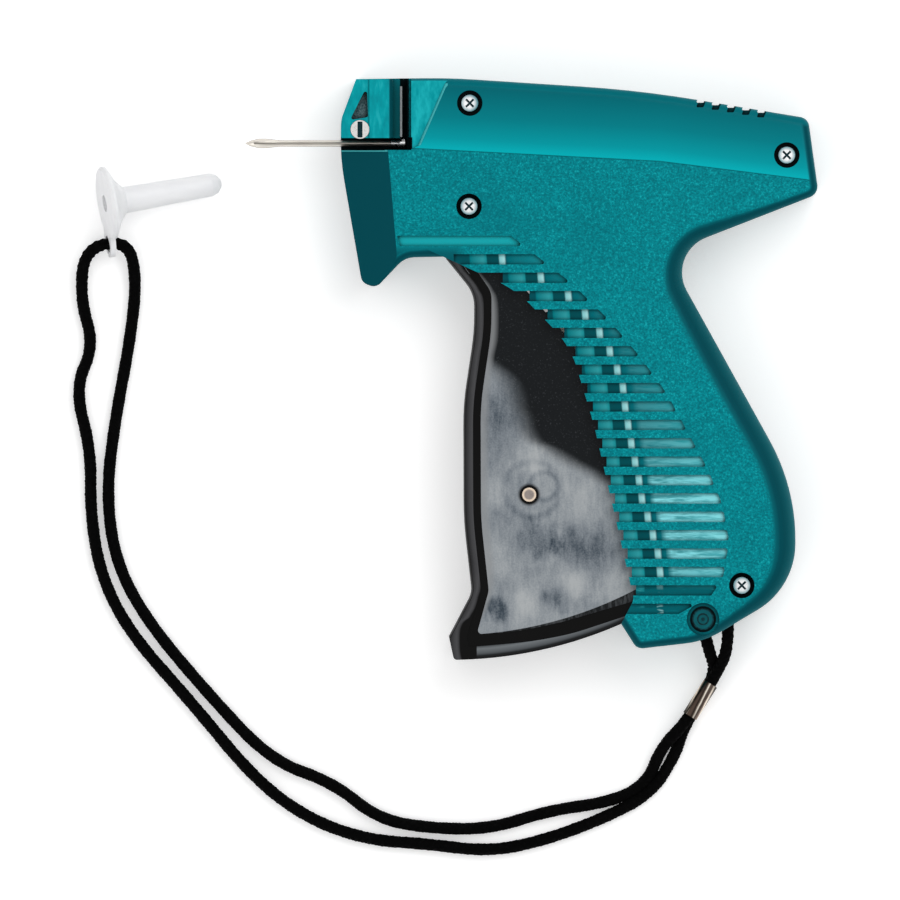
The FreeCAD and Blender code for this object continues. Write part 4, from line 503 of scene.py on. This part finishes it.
# Painted sheen across the rounded front rim.
RIM_PAINTED_SHEEN = (
    (0.0, (0.006, 0.006, 0.007)), (0.0006, (0.030, 0.030, 0.032)), (0.0020, (0.062, 0.062, 0.066)),
    (0.0025, (0.040, 0.040, 0.043)), (0.0029, (0.001, 0.001, 0.001)),
    (0.0060, (0.001, 0.001, 0.001)),
)


def painted_reflection_haze(m, swirl, hair, specks):
    """How strong the painted reflection is, from 0 to 1."""
    painted_haze = m.spread(swirl, 0.50, 0.76, 0.33, 0.67)
    wobble = m.spread(m.noise(170.0, 3.0, 0.6, (1.3, 0.7, 1.0)), -0.0020, 0.0020, 0.34, 0.66)
    for x, y, reach, strength in PAINTED_HAZE_CLOUDS:
        distance = m.total(m.away((x, y)), wobble)
        painted_haze = m.total(painted_haze, m.spread(distance, strength, 0.0, 0.0, reach * MM, True))
    for centre, radius, width, depth in PAINTED_HAZE_RINGS:
        ring = m.spread(m.off(centre, radius), depth, 0.0, 0.0, width * MM, True)
        painted_haze = m.minus(painted_haze, ring)
    return m.total(painted_haze, m.spread(hair, -0.09, 0.09, 0.3, 0.7),
                   m.spread(specks, -0.07, 0.07, 0.3, 0.7))


def black_gloss():
    """Polished black plastic; its side carries painted grey reflections and fine scratches."""
    m = Nodes("black_gloss")
    x, y, z = (m.place, "X"), (m.place, "Y"), (m.place, "Z")
    flat = m.spread(m.facing(), 0.0, 1.0, 0.93, 0.99)
    side = m.math("ABSOLUTE", m.minus(z, MIDDLE * MM))
    inner = m.minus(x, m.curve(y, FINGER_EDGE))
    foot = m.minus(FOOT_RADIUS * MM, m.away(TRIGGER_PIVOT))
    swirl = m.noise(48.0, 3.0, 0.55, None, 0.6)
    hair = m.noise(900.0, 3.0, 0.7, (1.0, 0.22, 1.0))
    specks = m.noise(2300.0, 2.0, 0.6)

    # The side's painted reflection, dark above a soft line and lighter along its bevelled front,
    # where a painted highlight runs.
    painted_haze = painted_reflection_haze(m, swirl, hair, specks)
    grey = m.ramp(painted_haze, ((0.0, (0.010, 0.013, 0.018)), (0.22, (0.050, 0.068, 0.088)),
                         (0.50, (0.185, 0.210, 0.235)), (0.75, (0.300, 0.325, 0.345)),
                         (1.0, (0.400, 0.420, 0.430))))
    past = m.total(m.minus(x, m.curve(y, SHADE_EDGE)), m.spread(swirl, -0.001, 0.001, 0.3, 0.7))
    shade = m.spread(past, 0.0, 1.0, -0.0056, 0.0034, True)
    dark = m.mix(m.spread(specks, 0.0, 1.0, 0.60, 0.74),
                 (0.0055, 0.0070, 0.0085), (0.034, 0.038, 0.042))
    tone = m.mix(shade, grey, dark)
    bevel_highlight = m.spread(inner, 1.0, 0.0, 0.0052, 0.0066)
    tone = m.mix(m.product(bevel_highlight, 0.7), tone, (0.260, 0.270, 0.278))

    # The strip along the foot with its painted reflection, the dark heel over it and the dark ring
    # around the link pin.
    tone = m.mix(m.below(foot, STRIP_TOP * MM), tone, m.ramp(foot, STRIP_PAINTED_SHEEN, 0.0, 0.0036))
    heel = m.product(m.above(foot, STRIP_TOP * MM), m.below(foot, HEEL_TOP * MM))
    tone = m.mix(m.product(heel, m.spread(hair, 1.0, 0.86, 0.45, 0.6)), tone, (0.006, 0.007, 0.008))
    pin = m.spread(m.away(LINK_PIN), 0.9, 0.0, 0.0024, 0.0031)
    tone = m.mix(pin, tone, (0.004, 0.004, 0.005))

    # Everything else is plain: the rim with a painted sheen on its rounding, the groove behind it
    # and the toe.
    plain = m.ramp(inner, RIM_PAINTED_SHEEN, 0.0, 0.007)
    sunk = m.near(side, (TRIGGER_GROOVE - MIDDLE) * MM, 0.0001)
    plain = m.mix(sunk, plain, (0.0005, 0.0005, 0.0005))
    panel = m.product(m.near(side, (TRIGGER_SIDE - MIDDLE) * MM, 0.00006), flat,
                      m.above(inner, RIM_WIDTH))
    toe = m.product(m.below(y, TOE_TOP * MM), m.below(x, TOE_FRONT * MM))
    tone = m.mix(m.product(panel, m.others(toe)), plain, tone)
    # Painted shade in the corners, from ambient occlusion.
    m.set(Base_Color=m.corners(tone, 0.0010, 0.7))

    m.set(Roughness=m.spread(painted_haze, 0.13, 0.30, 0.2, 0.9))
    m.set(Normal=m.bump(hair, 0.000008, 0.4, m.bump(swirl, 0.00010, 0.35)))
    m.set(Specular_IOR_Level=0.10, Coat_Weight=0.03, Coat_Roughness=0.06)
    return m.material


# ---------------------------------------------------------------- metals, nylon, cap, yarn

ALONG = (0.08, 1.0, 1.0)                # grain drawn out along X
UPRIGHT = (1.0, 1.0, 0.2)               # grain drawn out along Z
# The rolled sleeve's painted reflections across it: bright highlight lines and dark lines.
SLEEVE_PAINTED_REFLECTIONS = (
    (-0.0021, (0.02, 0.015, 0.012)), (-0.0017, (0.95, 0.82, 0.68)), (-0.0014, (0.13, 0.09, 0.07)),
    (-0.0006, (0.10, 0.07, 0.055)), (-0.0002, (0.012, 0.010, 0.009)), (0.0001, (0.16, 0.12, 0.09)),
    (0.0004, (1.0, 0.92, 0.80)), (0.0007, (0.10, 0.075, 0.06)), (0.0013, (0.16, 0.12, 0.10)),
    (0.0016, (0.90, 0.80, 0.68)), (0.0020, (0.03, 0.02, 0.016)),
)


def metal(name, colour, rough, brush, scale=900.0, stretch=ALONG, tint=0.12,
          recess=None, painted_rims=None, painted_stripes=None, shaded_flanks=None):
    """Brushed or scuffed metal.

    recess gives the heights between which a recess gets painted shade.
    rims gives the centres of round pieces, where their rim starts and ends, and the painted colour
    of the light on the rim.
    stripes gives a centre, the direction across a rolled sleeve, and its painted reflection tones.
    flanks is the painted shade on a drawn tube's sides, where they turn away from its top.
    """
    m = Nodes(name)
    grain = m.noise(scale, 4.0, 0.6, stretch)
    dark = tuple(c * (1 - tint) for c in colour)
    light = tuple(min(1.0, c * (1 + tint)) for c in colour)
    tone = m.mix(m.noise(350.0, 3.0), dark, light)
    if recess:
        z = (m.place, "Z")
        # Painted shade down in the recess and its corners.
        low = m.product(m.below(z, recess[1]), m.above(z, recess[0]))
        tone = m.mix(low, m.corners(tone, 0.0007, 0.8, (0.05, 0.06, 0.065)), (0.012, 0.035, 0.042))
    if painted_stripes:
        centre, across, tones = painted_stripes
        over_x = m.product(m.minus((m.place, "X"), centre[0] * MM), across[0])
        over_y = m.product(m.minus((m.place, "Y"), centre[1] * MM), across[1])
        # Grain frays the edges of the painted reflection stripes.
        painted_shine_mark = m.product(m.minus(grain, 0.5), 0.0004)
        tone = m.ramp(m.total(over_x, over_y, painted_shine_mark), tones, -0.0022, 0.0022)
    if shaded_flanks:
        # Painted shade on the tube's sides.
        tone = m.mix(m.spread(m.facing(), 1.0, 0.0, 0.30, 0.62), tone, shaded_flanks)
    # Painted light on the rims: bluish shade on the screws, a highlight on the pin.
    if painted_rims:
        centres, start, end, painted_rim_tone = painted_rims
        distance = m.least(*(m.away(centre) for centre in centres))
        tone = m.mix(m.spread(distance, 0.0, 1.0, start, end), tone, painted_rim_tone)
    m.set(Base_Color=tone, Metallic=1.0)
    m.set(Roughness=m.spread(grain, rough - 0.08, rough + 0.14, 0.3, 0.7))
    m.set(Normal=m.bump(grain, brush, 0.6))
    return m.material


def nylon():
    """Plain moulded nylon with a little grain."""
    m = Nodes("white_nylon")
    cloud = m.noise(150.0, 3.0)
    colour = (0.72, 0.70, 0.64)
    m.set(Base_Color=m.mix(cloud, tuple(c * 0.88 for c in colour), colour))
    m.set(Roughness=m.spread(cloud, 0.38, 0.55), Normal=m.bump(m.noise(1800.0, 2.0), 0.00002, 0.5))
    m.set(Subsurface_Weight=0.15)
    m.scatter(0.002)
    return m.material


def cloudy_cap():
    """Milky soft plastic of the needle cap, with flow lines along its tube."""
    m = Nodes("cloudy_cap")
    flow = m.noise(240.0, 3.0, 0.55, (0.22, 1.0, 1.0))
    cloud = m.noise(90.0, 2.0)
    tone = m.mix(m.spread(flow, 0.0, 1.0, 0.35, 0.65), (0.860, 0.865, 0.885), (0.925, 0.930, 0.945))
    tone = m.mix(m.spread(cloud, 0.0, 0.35, 0.45, 0.7), tone, (0.95, 0.955, 0.96))
    m.set(Base_Color=tone, Roughness=m.spread(flow, 0.30, 0.46, 0.3, 0.7))
    m.set(Normal=m.bump(cloud, 0.00010, 0.35, m.bump(flow, 0.00003, 0.3)))
    m.set(IOR=1.45, Transmission_Weight=0.04, Subsurface_Weight=0.10, Specular_IOR_Level=0.40)
    m.scatter(0.003)
    return m.material


def braid_yarn():
    """Black polyester yarn: matt, with fine fibres and a soft sheen."""
    m = Nodes("black_yarn")
    fibre = m.noise(5200.0, 3.0, 0.7)
    fluff = m.noise(900.0, 2.0)
    tone = m.ramp(fibre, ((0.35, (0.0004, 0.0004, 0.0004)),
                          (0.65, (0.0022, 0.0022, 0.0023))), 0.3, 0.7)
    tone = m.mix(m.spread(fluff, 0.0, 0.4, 0.5, 0.75), tone, (0.0045, 0.0045, 0.0048))
    m.set(Base_Color=tone, Roughness=m.spread(fibre, 0.70, 0.90, 0.3, 0.7))
    m.set(Normal=m.bump(fibre, 0.00006, 0.9), Specular_IOR_Level=0.03)
    m.set(Sheen_Weight=0.004, Sheen_Roughness=0.5)
    return m.material


teal = teal_plastic()
steel = metal("stainless", (0.95, 0.88, 0.79), 0.30, 0.000012)
nylon_white = nylon()
yarn = braid_yarn()
needle_steel = metal("needle_steel", (0.96, 0.87, 0.79), 0.34, 0.000010, shaded_flanks=(0.16, 0.125, 0.10))
# The blade's steel is painted darker: painted shade of the slot it sits in.
blade = metal("blade_steel", (0.30, 0.32, 0.33), 0.34, 0.000010)
zinc = metal("zinc_plate", (0.90, 0.91, 0.92), 0.27, 0.000010, 1600.0, UPRIGHT)
# Painted shade in the screws' cross recesses and painted bluish shade on their rims.
screw_zinc = metal("screw_zinc", (0.90, 0.92, 0.94), 0.30, 0.000010, 1600.0, UPRIGHT, 0.08,
                   recess=(0.0226, 0.02415),
                   painted_rims=(SCREW_CENTRES, 0.0012, 0.0022, (0.10, 0.27, 0.31)))
# Painted shade in the lock's slot.
lock_zinc = metal("lock_zinc", (0.72, 0.71, 0.69), 0.30, 0.000010, 1600.0, UPRIGHT,
                  recess=(0.0131, 0.0254))
# A painted highlight on the pin's rim.
brass = metal("brass_pin", (0.30, 0.26, 0.24), 0.34, 0.000010, 1400.0, UPRIGHT, 0.30,
              painted_rims=((LINK_PIN,), 0.0011, 0.0015, (0.80, 0.66, 0.52)))
nickel = metal("nickel_sleeve", (0.30, 0.265, 0.235), 0.20, 0.00002, 420.0, (1.0, 0.5, 1.0), 0.60,
               painted_stripes=((43.6, -85.3), (0.89, -0.45), SLEEVE_PAINTED_REFLECTIONS))

LOOKS = {
    "left_housing": teal, "right_housing": teal, "needle_head": head_plastic(),
    "lanyard_post": post_plastic(), "trigger": black_gloss(), "needle": needle_steel,
    "needle_foot": zinc, "needle_lock": lock_zinc, "knife": blade, "feed_wheel": nylon_white,
    "feed_axle": steel, "feed_pawl": nylon_white, "pawl_pin": steel, "slide_block": nylon_white,
    "slide_pin": steel, "push_rod": steel, "rod_guide": nylon_white, "drive_lever": steel,
    "lever_pivot_pin": steel, "trigger_pivot_pin": steel, "link_pin": brass,
    "spring_anchor_pin": steel, "return_spring": steel, "housing_screws": screw_zinc,
    "cord_ferrule": nickel, "needle_cap": cloudy_cap(), "wrist_cord": yarn,
}
for name, material in LOOKS.items():
    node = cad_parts[name]
    node.data.materials.clear()
    node.data.materials.append(material)


# ---------------------------------------------------------------- wrist cord

# From the lanyard post through the ferrule to the cap's eye and back, in millimetres.
CORD_ROUTE = (
    (44.7, -67.9, 10.0), (45.8, -72.6, 9.4), (47.9, -78.4, 2.1), (39.5, -91.7, 2.0),
    (37.4, -99.0, 1.7), (31.0, -109.4, 1.7), (18.5, -115.9, 1.7), (3.0, -121.6, 1.7),
    (-11.0, -124.4, 1.7), (-27.0, -122.4, 1.7), (-42.0, -121.4, 1.7), (-57.0, -116.2, 1.7),
    (-71.0, -106.0, 1.7), (-87.5, -86.0, 1.7), (-103.5, -68.0, 1.7), (-111.0, -53.0, 1.7),
    (-113.6, -37.0, 1.7), (-113.4, -21.0, 1.7), (-117.6, -5.0, 1.7), (-112.6, 6.0, 1.7),
    (-116.2, 18.0, 1.7), (-115.1, 31.2, 4.5), (-103.9, 33.2, 4.4), (-101.6, 23.0, 1.8),
    (-103.4, 7.0, 1.7), (-107.0, -12.0, 1.7), (-109.5, -31.5, 1.7), (-107.2, -49.5, 1.7),
    (-99.0, -65.0, 1.7), (-83.0, -84.0, 1.7), (-67.0, -101.0, 1.7), (-51.0, -106.6, 1.7),
    (-39.5, -116.0, 1.7), (-26.0, -118.4, 1.7), (-10.5, -118.6, 1.7), (4.5, -113.8, 1.7),
    (20.5, -111.6, 1.7), (29.8, -107.0, 1.7), (33.6, -97.4, 3.2), (39.7, -91.4, 5.5),
    (48.2, -77.9, 5.5), (50.9, -71.6, 11.2), (50.7, -65.2, 12.0),
)
CORD_RADIUS = 0.001675
CORD_STEP = 0.00028                     # distance between the rings of the braid's mesh
CORD_SIDES = 36
SPLINE_STEPS = 48
BRAID_CROWNS = 5                        # bundles of yarn side by side around the cord
BRAID_PITCH = 0.00170                   # distance from one crown to the next along the cord
BRAID_DEPTH = 0.00030
BRAID_CREST = 0.6                       # under 1, a crown is blunt and the gaps are narrow
YARN_SLACK = 0.00005                    # how far a loose bundle sinks


def cord_line():
    """Points along the NURBS spline that has the route's points as its control points."""
    curve = bpy.data.curves.new("wrist_cord_line", "CURVE")
    curve.dimensions = "3D"
    curve.resolution_u = SPLINE_STEPS
    spline = curve.splines.new("NURBS")
    spline.points.add(len(CORD_ROUTE) - 1)
    for point, place in zip(spline.points, CORD_ROUTE):
        point.co = (place[0] / 1000, place[1] / 1000, place[2] / 1000, 1.0)
    spline.order_u = 3
    spline.use_endpoint_u = True
    item = bpy.data.objects.new("wrist_cord_line", curve)
    bpy.context.scene.collection.objects.link(item)
    bpy.context.view_layer.update()
    mesh = bpy.data.meshes.new_from_object(item)
    line = [v.co.copy() for v in mesh.vertices]
    bpy.data.objects.remove(item)
    bpy.data.curves.remove(curve)
    bpy.data.meshes.remove(mesh)
    return line


def even_points(line, step):
    """Points at equal distances along a line of points."""
    total = sum((b - a).length for a, b in zip(line, line[1:]))
    count = round(total / step)
    points, travelled, goal = [line[0]], 0.0, total / count
    for a, b in zip(line, line[1:]):
        stretch = (b - a).length
        while stretch and goal <= travelled + stretch + 1e-12 and len(points) < count:
            points.append(a.lerp(b, (goal - travelled) / stretch))
            goal += total / count
        travelled += stretch
    points.append(line[-1])
    return points


def braid_ring(centre, ahead, side, run):
    """One ring of the braid's surface, a distance run along the cord."""
    other = ahead.cross(side)
    wave = math.pi * run / BRAID_PITCH
    slack = YARN_SLACK * (1 + math.sin(run * 610) * math.sin(run * 1370 + 0.7))
    ring = []
    for k in range(CORD_SIDES):
        turn = 2 * math.pi * k / CORD_SIDES
        twist = BRAID_CROWNS * turn / 2
        crown = abs(math.sin(twist + wave) * math.sin(twist - wave))
        radius = CORD_RADIUS - BRAID_DEPTH * (1 - crown ** BRAID_CREST) - slack
        ring.append(centre + side * (radius * math.cos(turn)) + other * (radius * math.sin(turn)))
    return ring


def braided_cord(path):
    """A braided tube: crossed bundles of yarn raised from a round cord."""
    verts, faces = [], []
    side = None
    for i, point in enumerate(path):
        ahead = path[min(i + 1, len(path) - 1)] - path[max(i - 1, 0)]
        ahead.normalize()
        if side is None:
            side = ahead.orthogonal()
        side = (side - ahead * side.dot(ahead)).normalized()
        verts += braid_ring(point, ahead, side, i * CORD_STEP)
    last = len(verts) - CORD_SIDES
    for start in range(0, last, CORD_SIDES):
        for k in range(CORD_SIDES):
            a, b = start + k, start + (k + 1) % CORD_SIDES
            faces.append((a, b, b + CORD_SIDES, a + CORD_SIDES))
    faces.append(tuple(reversed(range(CORD_SIDES))))
    faces.append(tuple(range(last, last + CORD_SIDES)))
    mesh = bpy.data.meshes.new("wrist_cord_braid")
    mesh.from_pydata(verts, [], faces)
    mesh.polygons.foreach_set("use_smooth", [True] * len(mesh.polygons))
    mesh.materials.append(yarn)
    item = bpy.data.objects.new("wrist_cord_braid", mesh)
    bpy.context.scene.collection.objects.link(item)
    return item


cord_path = even_points(cord_line(), CORD_STEP)
cord = braided_cord(cord_path)
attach(cord, "housing")
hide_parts("wrist_cord")


# ---------------------------------------------------------------- floor, lights, camera

FLOOR_HALF, FLOOR_LEVEL = 1.5, -0.0002
FLOOR_LIFT = 0.32                       # the white that cameras and polished faces see on top
# The room's brightness, from its white walls at the horizon to its grey ceiling.
STUDIO = ((0.0, 1.0), (0.10, 0.95), (0.28, 0.50), (0.60, 0.50), (0.84, 0.78), (1.0, 0.80))
LAMP_TARGET = (0, -0.02, 0)
LAMP_SIZE = 0.70
LAMPS = (("key", (0.40, 0.45, 0.85), 3.6), ("fill", (-0.50, -0.42, 0.80), 1.6))      # place, watts


def floor():
    """A plain white table; cameras and polished faces see it a little brighter than it is lit."""
    mesh = bpy.data.meshes.new("floor")
    corners = ((-1, -1), (1, -1), (1, 1), (-1, 1))
    mesh.from_pydata([(x * FLOOR_HALF, y * FLOOR_HALF, FLOOR_LEVEL) for x, y in corners], [],
                     [(0, 1, 2, 3)])
    item = bpy.data.objects.new("floor", mesh)
    bpy.context.scene.collection.objects.link(item)
    m = Nodes("floor_white")
    m.set(Base_Color=m.mix(m.noise(40.0), (0.895, 0.895, 0.895), (0.915, 0.915, 0.915)))
    m.set(Roughness=0.9, Specular_IOR_Level=0.1, Emission_Color=(1.0, 1.0, 1.0))
    path = m.add("ShaderNodeLightPath")
    seen = m.most((path, "Is Camera Ray"), (path, "Is Glossy Ray"), (path, "Is Transmission Ray"))
    m.set(Emission_Strength=m.product(seen, FLOOR_LIFT))
    mesh.materials.append(m.material)


def area_light(name, place, power):
    """A square soft lamp that points at the object."""
    data = bpy.data.lights.new(name, "AREA")
    data.shape = "RECTANGLE"
    data.size = data.size_y = LAMP_SIZE
    data.energy = power
    item = bpy.data.objects.new(name, data)
    item.location = place
    aim = Vector(LAMP_TARGET) - Vector(place)
    item.rotation_euler = aim.to_track_quat("-Z", "Y").to_euler()
    bpy.context.scene.collection.objects.link(item)


def studio():
    """A room with white walls and a grey ceiling."""
    world = bpy.data.worlds.new("studio")
    bpy.context.scene.world = world
    world.use_nodes = True
    tree = world.node_tree
    coords = tree.nodes.new("ShaderNodeTexCoord")
    parts = tree.nodes.new("ShaderNodeSeparateXYZ")
    ramp = tree.nodes.new("ShaderNodeValToRGB")
    elements = ramp.color_ramp.elements
    while len(elements) < len(STUDIO):
        elements.new(0.5)
    for element, (height, level) in zip(elements, STUDIO):
        element.position = height
        element.color = (level, level, level, 1)
    background = tree.nodes["Background"]
    tree.links.new(coords.outputs["Generated"], parts.inputs["Vector"])
    tree.links.new(parts.outputs["Z"], ramp.inputs[0])
    tree.links.new(ramp.outputs[0], background.inputs["Color"])
    background.inputs["Strength"].default_value = 1.0


def camera():
    """Looks straight down on the gun's left side, as the photograph does."""
    data = bpy.data.cameras.new("camera")
    data.type = "ORTHO"
    data.ortho_scale = PICTURE_PIXELS * PIXEL
    item = bpy.data.objects.new("camera", data)
    item.location = (*VIEW_CENTRE, 1.0)
    bpy.context.scene.collection.objects.link(item)
    bpy.context.scene.camera = item
    bpy.context.scene.view_settings.view_transform = "Standard"


floor()
for name, place, power in LAMPS:
    area_light(name, place, power)
studio()
camera()
